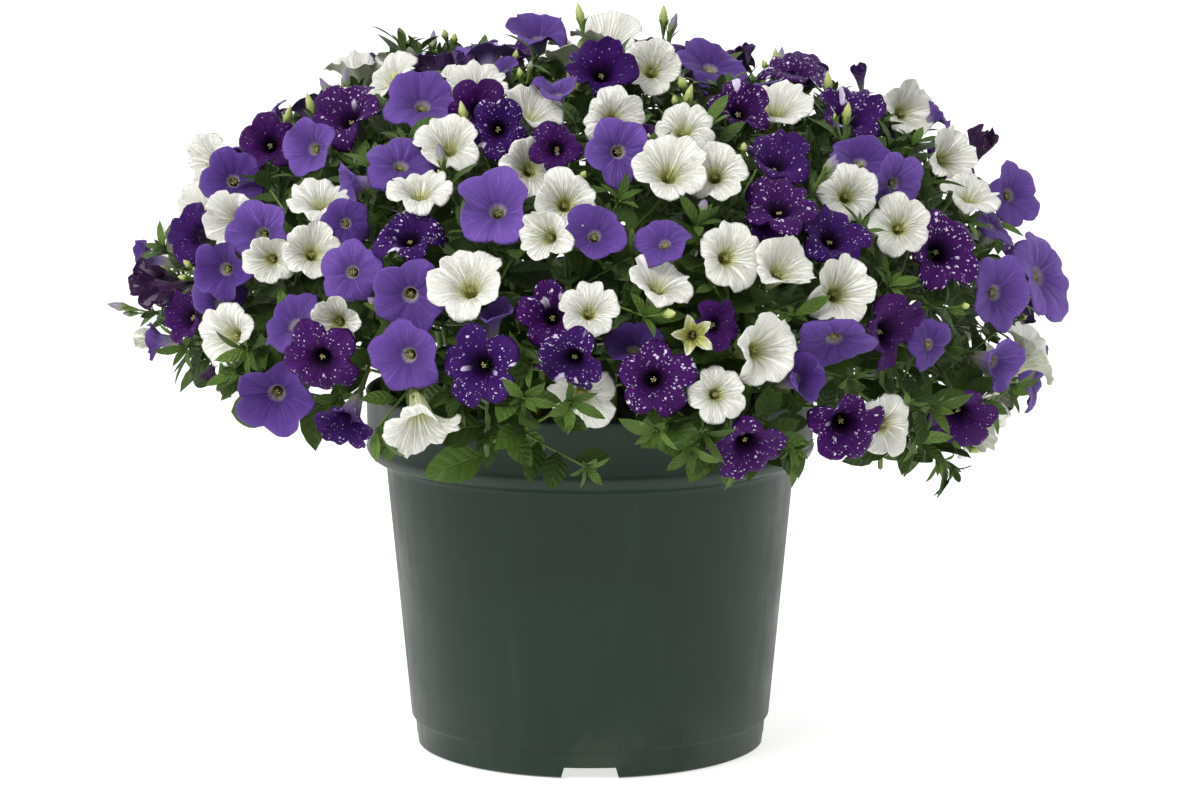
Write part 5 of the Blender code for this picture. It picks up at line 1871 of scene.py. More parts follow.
def petal_lines_group():
    """Radial streaks from the throat, and how far out and how far behind a point of a bloom lies."""
    nodes, given = new_group("Petal lines", Place=None, Lot=0.5, Count=9.0, Sharpness=0.12)
    x, y, side = given["Place"].parts()
    radius = nodes.length(x, y)
    safe = radius.at_least(0.02)
    along = radius * 1.1 + given["Lot"] * 41.0
    spread = nodes.combine(x / safe * given["Count"], y / safe * given["Count"], along)
    lines = abs(nodes.noise(spread, 1.0, 3.0, 0.6) - 0.5).step(0.0, given["Sharpness"], 1.0, 0.0)
    turn = nodes.math("ARCTAN2", y, x) * (LOBES / (2 * math.pi))
    middle = (abs((turn + 0.5).fraction() - 0.5) * radius).step(0.0, 0.020, 0.8, 0.0)
    depth = nodes.math("SUBTRACT", side, 1.0, clamp=True)
    return nodes.close(Lines=lines.at_least(middle), Radius=radius, Behind=side.step(0.3, 0.9), Depth=depth)


def mottle_group():
    """A soft, slow variation over any surface, between 0 and 1."""
    nodes, given = new_group("Mottle", Scale=60.0, Detail=3.0, Contrast=1.0)
    noise = nodes.noise(nodes.coordinates(), given["Scale"], given["Detail"], 0.6)
    return nodes.close(Value=nodes.math("ADD", (noise - 0.5) * given["Contrast"], 0.5, clamp=True))


def blotch_group():
    """Scattered pale spots, round or drawn out along the lobe."""
    nodes, given = new_group("Blotches", Place=None, Lot=0.5, Size=9.0, Share=0.25, Stretch=0.6)
    x, y, _ = given["Place"].parts()
    shrink = nodes.math("POWER", nodes.length(x, y).at_least(0.05), given["Stretch"])
    shift = (nodes.noise(given["Place"], 9.0, 2.0, 0.5) - 0.5) * 0.09
    cells = nodes.add("ShaderNodeTexVoronoi", feature="F1")
    spread = nodes.combine(x / shrink + shift, y / shrink - shift, given["Lot"] * 23.0)
    nodes.feed(cells.inputs["Vector"], spread)
    nodes.feed(cells.inputs["Scale"], given["Size"])
    chance, *_ = Wire(nodes, cells.outputs["Color"]).parts("ShaderNodeSeparateColor")
    spot_reach = (chance - (1.0 - given["Share"])) * 1.5
    return nodes.close(Mask=(spot_reach - Wire(nodes, cells.outputs["Distance"])).step(0.0, 0.08))


def leaf_veins_group():
    """A leaf's rib and side veins, with the small swellings between them."""
    nodes, given = new_group("Leaf veins", Place=None, Count=6.0)
    along, over, side = given["Place"].parts()
    width = abs(over)
    wave = abs((along * given["Count"] - width * 1.3).fraction() - 0.5)
    rows = wave.step(0.0, 0.075, 0.75, 0.0) * width.step(0.75, 1.0, 1.0, 0.0)
    veins = width.step(0.0, 0.09, 1.0, 0.0).at_least(rows)
    return nodes.close(Veins=veins, Height=wave * 1.2 - veins * 0.7, Behind=side.step(0.3, 0.7))


GROUPS = {
    "lines": petal_lines_group,
    "mottle": mottle_group,
    "blotch": blotch_group,
    "veins": leaf_veins_group,
}
SHARED = {}


def shared(name, make):
    """What is made once and used by several operators."""
    if name not in SHARED:
        SHARED[name] = make()
    return SHARED[name]


def shared_groups():
    return shared("groups", lambda: {name: make() for name, make in GROUPS.items()})


def finish(name, roughness, specular=None):
    """A new material: its wiring and its shader."""
    made = bpy.data.materials.new(name)
    made.use_nodes = True
    shader = made.node_tree.nodes["Principled BSDF"]
    shader.inputs["Roughness"].default_value = roughness
    if specular is not None:
        shader.inputs["Specular IOR Level"].default_value = specular
    return made, Nodes(made.node_tree), shader


def coat(nodes, shader, colour, height, depth):
    """Feeds the shader its colour, and the relief that raises the surface by up to a depth."""
    nodes.feed(shader.inputs["Base Color"], colour)
    bump = nodes.add("ShaderNodeBump")
    bump.inputs["Distance"].default_value = depth
    bump.inputs["Strength"].default_value = 1.0
    nodes.feed(bump.inputs["Height"], height)
    nodes.feed(shader.inputs["Normal"], Wire(nodes, bump.outputs["Normal"]))


def scaled(colour, factor):
    return tuple(min(1.0, channel * factor) for channel in colour)


def white_petals(look):
    made, nodes, shader = finish("white_petals", 0.62, 0.20)
    place, lot = nodes.place(), nodes.lot()
    petal = nodes.group("lines", Place=place, Lot=lot, Count=9.0, Sharpness=0.10)
    lines, radius = petal["Lines"], petal["Radius"]
    front = radius.ramp(
        (0.0, (0.32, 0.32, 0.025)), (0.11, (0.56, 0.56, 0.070)), (0.17, (0.70, 0.70, 0.22)),
        (0.25, (0.77, 0.77, 0.50)), (0.37, look.white_colour), (1.0, scaled(look.white_colour, 1.04)),
    )
    front = nodes.mix(lines * radius.step(0.22, 0.80, 0.62, 0.14), front, (0.40, 0.42, 0.20))
    behind = petal["Depth"].ramp(
        (0.0, (0.78, 0.79, 0.68)), (0.25, (0.74, 0.76, 0.56)),
        (0.75, (0.50, 0.53, 0.20)), (1.0, (0.34, 0.42, 0.10)),
    )
    behind = nodes.mix(lines * 0.30, behind, (0.38, 0.44, 0.20))
    mottle = nodes.mottle(130.0, 3.0, 1.4)
    colour = nodes.mix(mottle * 0.10, nodes.mix(petal["Behind"], front, behind), (0.60, 0.62, 0.55))
    coat(nodes, shader, colour, mottle - lines * 0.6, 0.0008)
    return made


def violet_petals(look):
    made, nodes, shader = finish("violet_petals", 0.60, 0.16)
    shader.inputs["Sheen Weight"].default_value = 0.06
    violet, light = look.violet_colour, look.violet_light
    place, lot = nodes.place(), nodes.lot()
    petal = nodes.group("lines", Place=place, Lot=lot, Count=8.0, Sharpness=0.16)
    lines, radius = petal["Lines"], petal["Radius"]
    mottle = nodes.mottle(55.0, 3.0, 1.8)
    main = nodes.mix(mottle * 0.24, nodes.mix(lot, scaled(violet, 0.62), light), light)
    main = nodes.mix(radius.step(0.62, 1.05, 0.0, 0.30), main, light)
    main = nodes.mix(lines * radius.step(0.2, 0.95, 0.62, 0.24), main, scaled(violet, 0.42))
    throat = radius.ramp(
        (0.0, (0.07, 0.07, 0.008)), (0.08, (0.20, 0.20, 0.03)), (0.125, (0.42, 0.42, 0.17)),
        (0.17, (0.45, 0.40, 0.44)), (0.24, light),
    )
    front = nodes.mix(radius.step(0.13, 0.25), throat, main)
    behind = petal["Depth"].ramp(
        (0.0, light), (0.30, (0.36, 0.28, 0.52)), (0.62, (0.44, 0.45, 0.28)), (1.0, (0.30, 0.38, 0.12))
    )
    behind = nodes.mix(lines * 0.34, behind, scaled(violet, 0.8))
    wilted = nodes.mix(lines, (0.110, 0.045, 0.170), (0.040, 0.016, 0.060))
    colour = nodes.mix(lot.step(1.4, 1.8, 0.0, 0.75), nodes.mix(petal["Behind"], front, behind), wilted)
    coat(nodes, shader, colour, mottle - lines * 0.5, 0.0008)
    return made


def speckled_petals(look):
    made, nodes, shader = finish("speckled_petals", 0.58, 0.14)
    purple, speckle = look.purple_colour, look.speckle_colour
    place, lot = nodes.place(), nodes.lot()
    petal = nodes.group("lines", Place=place, Lot=lot, Count=7.0, Sharpness=0.20)
    lines, radius = petal["Lines"], petal["Radius"]
    mottle = nodes.mottle(70.0, 3.0, 2.0)
    main = nodes.mix((lot * 7.3).fraction().step(0.35, 0.65), purple, look.purple_blue)
    main = nodes.mix(mottle * 0.50, main, scaled(purple, 2.1))
    main = nodes.mix(lines * 0.55, main, scaled(purple, 0.35))
    main = nodes.mix(radius.step(0.12, 0.42, 1.0, 0.0), main, (0.006, 0.001, 0.010))

    def spots(turn, size, share, stretch):
        return nodes.group("blotch", Place=place, Lot=turn, Size=size, Share=share, Stretch=stretch)["Mask"]

    lavish = lot.step(0.0, 1.0, 0.30, 1.0)
    small = spots(lot, 19.0, lavish * 0.22 + 0.14, 0.10)
    medium = spots(lot + 3.3, 7.5, lavish * 0.30, 0.30)
    patch = spots(lot + 7.1, 2.5, lavish * 0.33, 0.60)
    white = (small * 0.80).at_least((medium * 0.95).at_least(patch))
    front = nodes.mix(white * radius.step(0.24, 0.50), main, speckle)
    behind = petal["Depth"].ramp(
        (0.0, (0.16, 0.08, 0.28)), (0.3, (0.26, 0.20, 0.36)),
        (0.65, (0.34, 0.36, 0.24)), (1.0, (0.24, 0.33, 0.10)),
    )
    behind = nodes.mix(lines * 0.45, behind, scaled(purple, 0.8))
    behind = nodes.mix(medium.at_least(patch) * 0.7, behind, speckle)
    wilted = nodes.mix(lines, (0.070, 0.018, 0.075), (0.024, 0.008, 0.022))
    colour = nodes.mix(lot.step(1.4, 1.8, 0.0, 0.80), nodes.mix(petal["Behind"], front, behind), wilted)
    coat(nodes, shader, colour, mottle - lines * 0.7, 0.0010)
    return made


def leaf_surface(look, name, colour, light):
    made, nodes, shader = finish(name, 0.50, 0.20)
    place, lot = nodes.place(), nodes.lot()
    veins = nodes.group("veins", Place=place, Count=6.0)
    mottle = nodes.mottle(85.0, 4.0, 1.8)
    base = nodes.mix(mottle * 0.5, nodes.mix(lot, scaled(colour, 0.62), light), scaled(colour, 0.55))
    base = nodes.mix(veins["Veins"] * look.vein_strength, base, scaled(light, 1.5))
    colour = nodes.mix(veins["Behind"], base, nodes.mix(0.45, base, (0.14, 0.23, 0.085)))
    nodes.feed(shader.inputs["Roughness"], mottle.step(0.2, 0.8, 0.45, 0.62))
    coat(nodes, shader, colour, veins["Height"] + mottle * 0.6, 0.0007)
    return made


def stem_surface(look):
    made, nodes, shader = finish("green_stems", 0.48)
    place, lot = nodes.place(), nodes.lot()
    mottle = nodes.mottle(160.0, 3.0, 1.6)
    base = nodes.mix(lot, look.stem_colour, scaled(look.stem_colour, 1.7))
    base = nodes.mix(mottle * 0.5, base, scaled(look.leaf_colour, 0.8))
    woody = place.parts()[0].step(0.0, 0.25, 0.45, 0.0)
    coat(nodes, shader, nodes.mix(woody, base, (0.16, 0.15, 0.05)), mottle, 0.0004)
    return made


def anther_surface():
    made, nodes, shader = finish("anthers", 0.75)
    lot = nodes.lot()
    mottle = nodes.mottle(900.0, 3.0, 2.0)
    base = nodes.mix(lot, (0.42, 0.38, 0.12), (0.26, 0.30, 0.07))
    coat(nodes, shader, nodes.mix(mottle, base, (0.60, 0.56, 0.26)), mottle, 0.0003)
    return made


def bud_surface():
    made, nodes, shader = finish("buds", 0.50)
    place, lot = nodes.place(), nodes.lot()
    along = place.parts()[0]
    mottle = nodes.mottle(220.0, 2.0, 1.4)
    pale = along.ramp(
        (0.0, (0.15, 0.26, 0.05)), (0.45, (0.32, 0.42, 0.09)),
        (0.85, (0.55, 0.60, 0.20)), (1.0, (0.62, 0.62, 0.30)),
    )
    dark = along.ramp(
        (0.0, (0.15, 0.26, 0.05)), (0.40, (0.28, 0.34, 0.12)),
        (0.80, (0.26, 0.20, 0.34)), (1.0, (0.20, 0.12, 0.36)),
    )
    base = nodes.mix(lot.step(0.62, 0.72), pale, dark)
    coat(nodes, shader, nodes.mix(mottle * 0.3, base, (0.16, 0.22, 0.05)), mottle, 0.0005)
    return made


def pot_surface(look):
    """Dark green plastic with drawn streaks, and dust low down and on the ledge."""
    made, nodes, shader = finish("pot_plastic", 0.40, 0.22)
    x, y, z = nodes.coordinates().parts()
    streaks = nodes.noise(nodes.combine(x * 70.0, y * 70.0, z * 5.0), 1.0, 4.0, 0.6)
    mottle = nodes.mottle(14.0, 5.0, 1.8)
    grain = nodes.mottle(900.0, 2.0, 1.0)
    base = nodes.mix(mottle * 0.6, look.pot_colour, scaled(look.pot_colour, 1.7))
    base = nodes.mix(streaks.step(0.50, 0.75) * 0.35, base, scaled(look.pot_colour, 2.1))
    dust = z.step(0.0, 0.060, 0.25, 0.0) * mottle.step(0.35, 0.75)
    ledge = abs(z - DUSTY_HEIGHT).step(0.0, 0.006, 0.25, 0.0) * mottle
    base = nodes.mix(dust.at_least(ledge), base, (0.085, 0.090, 0.070))
    nodes.feed(shader.inputs["Roughness"], (streaks * 0.5 + mottle * 0.5).step(0.3, 0.7, 0.30, 0.48))
    coat(nodes, shader, base, grain * 0.25 + streaks * 0.5, 0.0003)
    return made


def soil_surface(look):
    made, nodes, shader = finish("potting_soil", 0.95)
    lot = nodes.lot()
    mottle = nodes.mottle(260.0, 6.0, 2.4)
    base = nodes.mix(mottle, look.soil_colour, scaled(look.soil_colour, 3.2))
    base = nodes.mix(nodes.mottle(30.0, 3.0, 1.8) * 0.5, base, scaled(look.soil_colour, 0.5))
    coat(nodes, shader, nodes.mix(lot.step(0.93, 0.97), base, (0.50, 0.48, 0.42)), mottle, 0.0020)
    return made


def floor_surface(look):
    made, nodes, shader = finish("pale_floor", 0.85)
    cloud = nodes.noise(nodes.coordinates(), 3.0, 4.0, 0.5)
    colour = nodes.mix(cloud * 0.06, look.floor_colour, scaled(look.floor_colour, 0.8))
    nodes.feed(shader.inputs["Base Color"], colour)
    nodes.feed(shader.inputs["Emission Color"], colour)
    shader.inputs["Emission Strength"].default_value = look.floor_glow
    return made


def pot_profile():
    """The pot's section, as in the frame, with its edges eased."""
    floor_top = FLOOR_UNDERSIDE + WALL
    foot_inner = FOOT_RADIUS - FOOT_WIDTH
    rim_inner = RIM_RADIUS - WALL - RIM_TAPER
    outside = (
        (RIM_RADIUS, RIM_SECTION),
        (BODY_TOP_RADIUS, SHOULDER_SECTION),
        (BODY_FOOT_RADIUS, WALL_FOOT_SECTION),
        (BASE_RING_RADIUS, BASE_SECTION),
        (FOOT_RADIUS, FOOT_SECTION),
    )
    return [
        (0.0, floor_top),
        (BASE_RING_RADIUS - WALL - FLOOR_CORNER, floor_top),
        (body_radius(WALL_FOOT) - WALL, WALL_FOOT),
        (body_radius(INNER_WALL_TOP) - WALL, INNER_WALL_TOP),
        (BODY_TOP_RADIUS + 0.0010, 0.1982),
        (BODY_TOP_RADIUS + LEDGE_REACH, LEDGE_HEIGHT),
        (RIM_RADIUS - WALL - 0.0030, 0.2060),
        (rim_inner, 0.2090),
        (rim_inner, POT_HEIGHT - 0.0016),
        (rim_inner + 0.0004, POT_HEIGHT - 0.0005),
        *((radius + out, height) for radius, section in outside for out, height in section),
        (foot_inner, 0.0),
        (foot_inner, FLOOR_UNDERSIDE),
        (0.0, FLOOR_UNDERSIDE),
    ]


def turned_mesh(name, profile, sides):
    """A closed body of revolution about Z."""
    bm = bmesh.new()
    rings = []
    for radius, height in profile:
        if radius == 0:
            rings.append([bm.verts.new((0, 0, height))])
            continue
        turn = [index * 2 * math.pi / sides for index in range(sides)]
        rings.append([bm.verts.new((radius * math.cos(a), radius * math.sin(a), height)) for a in turn])
    for first, second in zip(rings, rings[1:]):
        for index in range(sides):
            corners = []
            for row, number in ((first, index), (first, index + 1), (second, index + 1), (second, index)):
                vertex = row[number % len(row)]
                if vertex not in corners:
                    corners.append(vertex)
            bm.faces.new(corners)
    bmesh.ops.recalc_face_normals(bm, faces=bm.faces)
    mesh = bpy.data.meshes.new(name)
    bm.to_mesh(mesh)
    bm.free()
    return mesh


def show(name, mesh):
    obj = bpy.data.objects.new(name, mesh)
    bpy.context.scene.collection.objects.link(obj)
    return obj


def block_mesh(corner_of):
    bm = bmesh.new()
    bmesh.ops.create_cube(bm, size=1.0)
    for vertex in bm.verts:
        vertex.co = corner_of(vertex.co)
    mesh = bpy.data.meshes.new("cutter")
    bm.to_mesh(mesh)
    bm.free()
    return mesh


def notch_corner(co):
    width = NOTCH_WIDTH * (NOTCH_NARROWING if co.z > 0 else 1.0)
    return Vector((co.x * NOTCH_REACH, co.y * width, NOTCH_HEIGHT if co.z > 0 else -NOTCH_HEIGHT))


def cut_foot(pot):
    """The notches of the foot ring and the drain holes in the floor."""
    cutters = bpy.data.collections.new("foot_cutters")
    bpy.context.scene.collection.children.link(cutters)
    half = DRAIN_CUT / 2
    drain_section = [(0, half), (DRAIN_RADIUS, half), (DRAIN_RADIUS, -half), (0, -half)]
    for index in range(NOTCHES):
        azimuth = index * 2 * math.pi / NOTCHES - math.pi / 2
        outward = Vector((math.cos(azimuth), math.sin(azimuth), 0.0))
        notch = bpy.data.objects.new("notch", block_mesh(notch_corner))
        notch.rotation_euler.z = azimuth
        notch.location = outward * FOOT_RADIUS
        drain = bpy.data.objects.new("drain", turned_mesh("drain", drain_section, DRAIN_SIDES))
        drain.location = outward * DRAIN_CIRCLE + Vector((0, 0, FLOOR_UNDERSIDE))
        for cutter in (notch, drain):
            cutters.objects.link(cutter)
    modifier = pot.modifiers.new("Foot", "BOOLEAN")
    modifier.operation = "DIFFERENCE"
    modifier.operand_type = "COLLECTION"
    modifier.collection = cutters
    modifier.solver = "EXACT"
    bpy.context.view_layer.update()
    mesh = bpy.data.meshes.new_from_object(pot.evaluated_get(bpy.context.evaluated_depsgraph_get()))
    pot.modifiers.clear()
    pot.data = mesh
    for cutter in list(cutters.objects):
        bpy.data.objects.remove(cutter)
    bpy.data.collections.remove(cutters)


def put(name, mesh, node):
    """Places a piece that stands for a node of the frame."""
    piece = show(name, mesh)
    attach(piece, BODY)
    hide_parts(node)
    return piece


def soil_heap(feet):
    """Crumbly soil, heaped a little round each stem, with clods and pale grains on it."""
    draw = random.Random(f"soil {SEED}")
    inner = WALL + SEAT_GAP
    wide = RIM_RADIUS - inner - RIM_TAPER
    angle = round_angles(SOIL_SIDES)
    crown = (SOIL_CROWN_HEIGHT, SOIL_CROWN_HEIGHT - SOIL_FLAT_DROP, SOIL_EDGE_HEIGHT)

    def level(radius):
        return np.interp(radius, (0, SOIL_FLAT_RADIUS, wide), crown)

    rows = []
    phases = [(draw.uniform(20, 150), draw.uniform(20, 150), draw.uniform(0, 6)) for _ in range(9)]
    near = np.array([tuple(foot)[:2] for foot in feet])
    for share in np.linspace(0.0, 1.0, SOIL_RINGS):
        radius = max(SOIL_MIDDLE, wide * share)
        x, y = radius * np.cos(angle), radius * np.sin(angle)
        lumps = sum(np.sin(a * x + b * y + c) for a, b, c in phases) / len(phases)
        from_stem = np.min(np.hypot(x[:, None] - near[:, 0], y[:, None] - near[:, 1]), axis=1)
        heaped = np.exp(-from_stem / STEM_HEAP_REACH)
        top = level(radius) + SOIL_LUMPS * lumps * min(1.0, (1.02 - share) * 8) + STEM_HEAP * heaped
        rows.append(np.stack([x, y, top], axis=-1))
    bottom = FLOOR_UNDERSIDE + WALL + SEAT_GAP
    for radius, height in (
        (wide, 0.2081),
        (BODY_TOP_RADIUS + LEDGE_REACH - SEAT_GAP, 0.2012),
        (body_radius(INNER_WALL_TOP) - inner, 0.1941),
        (body_radius(WALL_FOOT) - inner, 0.0211),
        (BASE_RING_RADIUS - inner - FLOOR_CORNER, bottom),
        (SOIL_MIDDLE, bottom),
    ):
        rows.append(turned_row(radius, angle, height))
    heap = Heap()
    points = np.concatenate(rows)
    faces = sheet_faces(len(rows), SOIL_SIDES, closed=True)[:, ::-1]
    heap.add(points, faces, 0, np.zeros_like(points), 0.5)
    for _ in range(CLODS):
        spread = wide * 0.97 * math.sqrt(draw.random())
        turn = draw.uniform(0, 2 * math.pi)
        height = float(level(spread)) - CLOD_SINK
        spot = Vector((spread * math.cos(turn), spread * math.sin(turn), height))
        way = scatter(draw, 1).normalized()
        size = draw.uniform(*CLOD_SIZES)
        pod(heap, spot, way, size, size * draw.uniform(0.5, 0.9), 0, draw.random(), 6, 4, 1.0, 0.6, 0.2)
    return heap


COLOUR = {"subtype": "COLOR", "size": 3, "min": 0, "max": 1}


class FlowerLook(bpy.types.PropertyGroup):
    """Colours of the blooms."""

    white_colour: FloatVectorProperty(
        name="White", description="Colour of the white petals", default=(0.80, 0.795, 0.745), **COLOUR
    )
    violet_colour: FloatVectorProperty(
        name="Violet", description="Main colour of the violet petals",
        default=(0.084, 0.022, 0.255), **COLOUR
    )
    violet_light: FloatVectorProperty(
        name="Violet, light", description="Colour of the violet petals at their edges and backs",
        default=(0.170, 0.086, 0.390), **COLOUR
    )
    purple_colour: FloatVectorProperty(
        name="Purple", description="Main colour of the speckled petals",
        default=(0.046, 0.0030, 0.092), **COLOUR
    )
    purple_blue: FloatVectorProperty(
        name="Purple, blue", description="Colour of the bluer speckled blooms",
        default=(0.024, 0.0038, 0.110), **COLOUR
    )
    speckle_colour: FloatVectorProperty(
        name="Speckles", description="Colour of the pale spots", default=(0.70, 0.62, 0.80), **COLOUR
    )


class FoliageLook(bpy.types.PropertyGroup):
    """Colours of the leaves and stems, and how much the veins show."""

    leaf_colour: FloatVectorProperty(
        name="Leaf", description="Colour of the older leaves", default=(0.034, 0.070, 0.0095), **COLOUR
    )
    leaf_light: FloatVectorProperty(
        name="Leaf, light", description="Colour of the lighter leaves",
        default=(0.070, 0.136, 0.018), **COLOUR
    )
    young_light: FloatVectorProperty(
        name="Young leaf", description="Colour of the leaves at the tips",
        default=(0.125, 0.220, 0.036), **COLOUR
    )
    stem_colour: FloatVectorProperty(
        name="Stem", description="Colour of the stems and sepals", default=(0.095, 0.160, 0.030), **COLOUR
    )
    vein_strength: FloatProperty(
        name="Veins", description="How much the leaf veins stand out in colour",
        subtype="FACTOR", min=0, max=1, default=0.32
    )


class PotLook(bpy.types.PropertyGroup):
    """Colours of the pot and its soil, and how finely the pot is turned."""

    pot_colour: FloatVectorProperty(
        name="Plastic", description="Colour of the pot's plastic",
        default=(0.0112, 0.0238, 0.0150), **COLOUR
    )
    soil_colour: FloatVectorProperty(
        name="Soil", description="Colour of the damp soil", default=(0.020, 0.013, 0.008), **COLOUR
    )
    pot_sides: IntProperty(
        name="Sides", description="Number of flats round the pot's wall",
        min=36, max=360, default=FINE_SIDES
    )


class StageLook(bpy.types.PropertyGroup):
    """The floor, the light and the camera."""

    floor_colour: FloatVectorProperty(
        name="Floor", description="Colour of the floor", default=(0.55, 0.55, 0.545), **COLOUR
    )
    key_power: FloatProperty(
        name="Key light", description="Power of the large soft light",
        subtype="POWER", min=0, max=2000, default=78.0
    )
    fill_power: FloatProperty(
        name="Fill light", description="Power of the weaker side light",
        subtype="POWER", min=0, max=2000, default=10.0
    )
    floor_glow: FloatProperty(
        name="Floor glow", description="Light that the pale floor gives off", min=0, max=2, default=1.30
    )
    front_sky: FloatProperty(
        name="Front", description="Brightness of the even light from the viewer's side",
        min=0, max=5, default=0.36
    )
    back_sky: FloatProperty(
        name="Back", description="Brightness of the pale backdrop", min=0, max=5, default=1.35
    )
    camera_distance: FloatProperty(
        name="Camera distance", description="Distance from the camera to the plant's middle",
        subtype="DISTANCE", unit="LENGTH", min=0.5, max=20, default=VIEW_DISTANCE
    )


LOOKS = {
    "petunia_flowers": FlowerLook,
    "petunia_foliage": FoliageLook,
    "petunia_pot": PotLook,
    "petunia_stage": StageLook,
}


def shoots_in_full():
    """Every shoot with its blooms, leaves, side shoots and buds."""
    pot = frame["nodes"]["pot"].data
    crowd = Crowd()
    crowd.add("pot", [v.co.copy() for v in pot.vertices], [tuple(f.vertices) for f in pot.polygons])
    shoots = grow_all(crowd)
    for shoot in shoots:
        match_frame(shoot)
    dress_shoots(shoots, crowd)
    return shoots


def shared_shoots():
    return shared("shoots", shoots_in_full)


def match_frame(shoot):
    """Stops if a shoot grown here isn't where the frame has it."""
    grown = [point for points, _ in [shoot.stem, *shoot.growths] for point in points]
    corners = as_array(grown)
    low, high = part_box(shoot.name)
    below, above = corners.min(axis=0) - np.array(low), corners.max(axis=0) - np.array(high)
    apart = max(np.abs(below).max(), np.abs(above).max())
    if apart > MOST_APART:
        raise RuntimeError(f"{shoot.name} is {apart * 1000:.1f} mm away from the frame's node")


def plant_surfaces():
    """The materials of everything that grows."""
    flowers, foliage = bpy.context.scene.petunia_flowers, bpy.context.scene.petunia_foliage
    return {
        "white": white_petals(flowers),
        "violet": violet_petals(flowers),
        "speckled": speckled_petals(flowers),
        "green": stem_surface(foliage),
        "leaf": leaf_surface(foliage, "leaves", foliage.leaf_colour, foliage.leaf_light),
        "young": leaf_surface(foliage, "young_leaves", foliage.leaf_light, foliage.young_light),
        "anther": anther_surface(),
        "bud": bud_surface(),
    }


def build_shoots(kind):
    """The pieces of every shoot of one kind."""
    surfaces = shared("surfaces", plant_surfaces)
    petals = surfaces["white" if kind == "leaf" else kind]
    materials = [petals, *(surfaces[name] for name in SLOT_SURFACES)]
    for shoot in shared_shoots():
        if shoot.kind != kind:
            continue
        name = f"fine_{shoot.name}"
        put(name, dress_piece(shoot).mesh(name, materials), shoot.name)


class PETUNIA_OT_pot(bpy.types.Operator):
    """Build the green plastic pot with its rim, foot notches and drain holes"""

    bl_idname = "petunia.pot"
    bl_label = "Pot"

    def execute(self, context):
        look = context.scene.petunia_pot
        pot = show("fine_pot", turned_mesh("fine_pot", pot_profile(), look.pot_sides))
        cut_foot(pot)
        pot.data.materials.clear()
        pot.data.materials.append(pot_surface(look))
        pot.data.polygons.foreach_set("use_smooth", np.ones(len(pot.data.polygons), dtype=bool))
        pot.data.set_sharp_from_angle(angle=math.radians(38))
        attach(pot, BODY)
        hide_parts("pot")
        return {"FINISHED"}


class PETUNIA_OT_soil(bpy.types.Operator):
    """Build the crumbly soil round the stems"""

    bl_idname = "petunia.soil"
    bl_label = "Soil"

    def execute(self, context):
        heap = soil_heap([shoot.path[0] for shoot in shared_shoots()])
        surface = soil_surface(context.scene.petunia_pot)
        put("fine_soil", heap.mesh("fine_soil", [surface]), "soil")
        return {"FINISHED"}


class PETUNIA_OT_white(bpy.types.Operator):
    """Build the sprays with white blooms"""

    bl_idname = "petunia.white"
    bl_label = "White sprays"

    def execute(self, context):
        build_shoots("white")
        return {"FINISHED"}


class PETUNIA_OT_violet(bpy.types.Operator):
    """Build the sprays with violet blooms"""

    bl_idname = "petunia.violet"
    bl_label = "Violet sprays"

    def execute(self, context):
        build_shoots("violet")
        return {"FINISHED"}


class PETUNIA_OT_speckled(bpy.types.Operator):
    """Build the sprays with dark purple, white speckled blooms"""

    bl_idname = "petunia.speckled"
    bl_label = "Speckled sprays"

    def execute(self, context):
        build_shoots("speckled")
        return {"FINISHED"}


class PETUNIA_OT_leafy(bpy.types.Operator):
    """Build the leafy shoots that bear no blooms"""

    bl_idname = "petunia.leafy"
    bl_label = "Leafy shoots"

    def execute(self, context):
        build_shoots("leaf")
        return {"FINISHED"}


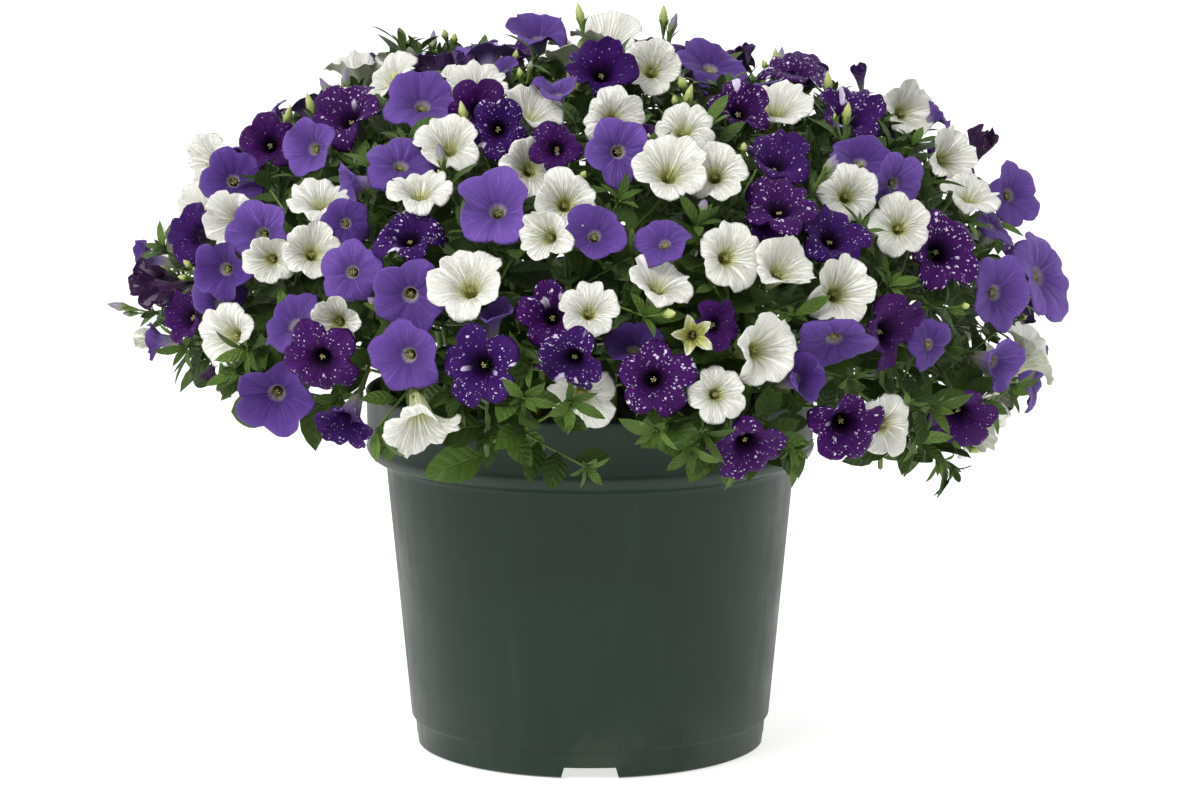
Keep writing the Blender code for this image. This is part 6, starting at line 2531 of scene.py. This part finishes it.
class PETUNIA_OT_stage(bpy.types.Operator):
    """Lay the floor, hang the soft lights and set the camera"""

    bl_idname = "petunia.stage"
    bl_label = "Stage"

    def execute(self, context):
        scene = context.scene
        look = scene.petunia_stage
        floor = bpy.data.meshes.new("floor")
        corners = [(x * FLOOR_REACH, y * FLOOR_REACH, 0) for x, y in ((-1, -1), (1, -1), (1, 1), (-1, 1))]
        floor.from_pydata(corners, [], [(0, 1, 2, 3)])
        floor.materials.append(floor_surface(look))
        show("floor", floor)
        towards = view_axes()[2]
        camera = bpy.data.cameras.new("camera")
        camera.sensor_width = SENSOR_WIDTH
        camera.lens = VIEW_ZOOM * VIEW_SCALE / (2 * VIEW_CENTRE_X) * SENSOR_WIDTH
        camera.clip_start, camera.clip_end = 0.1, 60.0
        holder = show("camera", camera)
        holder.location = VIEW_POINT + towards * look.camera_distance
        holder.rotation_mode = "QUATERNION"
        holder.rotation_quaternion = (towards * -1.0).to_track_quat("-Z", "Y")
        scene.camera = holder
        for (name, place, size), power in zip(LAMPS, (look.key_power, look.fill_power)):
            light = bpy.data.lights.new(name, "AREA")
            light.shape = "DISK"
            light.size = size
            light.energy = power
            lamp = show(name, light)
            lamp.location = place
            lamp.rotation_mode = "QUATERNION"
            lamp.rotation_quaternion = (MOUND_CENTRE - Vector(place)).to_track_quat("-Z", "Y")
        world = bpy.data.worlds.new("studio")
        world.use_nodes = True
        nodes = Nodes(world.node_tree)
        _, ahead, _ = nodes.coordinates("Generated").parts()
        sky = world.node_tree.nodes["Background"].inputs
        nodes.feed(sky["Strength"], ahead.step(-0.35, 0.60, look.front_sky, look.back_sky))
        sky["Color"].default_value = (0.97, 0.98, 1.0, 1.0)
        scene.world = world
        scene.view_settings.view_transform = "Standard"
        return {"FINISHED"}


OPERATORS = (
    PETUNIA_OT_pot,
    PETUNIA_OT_soil,
    PETUNIA_OT_white,
    PETUNIA_OT_violet,
    PETUNIA_OT_speckled,
    PETUNIA_OT_leafy,
    PETUNIA_OT_stage,
)


class PETUNIA_PT_panel(bpy.types.Panel):
    """The steps that build the plants, and the values that they take"""

    bl_idname = "PETUNIA_PT_panel"
    bl_label = "Potted petunias"
    bl_space_type = "VIEW_3D"
    bl_region_type = "UI"
    bl_category = "Petunias"

    def draw(self, context):
        for operator in OPERATORS:
            self.layout.operator(operator.bl_idname)
        for name, look in LOOKS.items():
            box = self.layout.box()
            values = getattr(context.scene, name)
            for value in look.__annotations__:
                box.prop(values, value)


CLASSES = (*LOOKS.values(), *OPERATORS, PETUNIA_PT_panel)


def register():
    for made in CLASSES:
        bpy.utils.register_class(made)
    for name, look in LOOKS.items():
        setattr(bpy.types.Scene, name, PointerProperty(type=look))


def unregister():
    for name in LOOKS:
        delattr(bpy.types.Scene, name)
    for made in reversed(CLASSES):
        bpy.utils.unregister_class(made)


def write_size():
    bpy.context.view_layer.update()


def main():
    register()
    for operator in OPERATORS:
        group, name = operator.bl_idname.split(".")
        getattr(getattr(bpy.ops, group), name)()
    write_size()


if __name__ == "__main__":
    main()
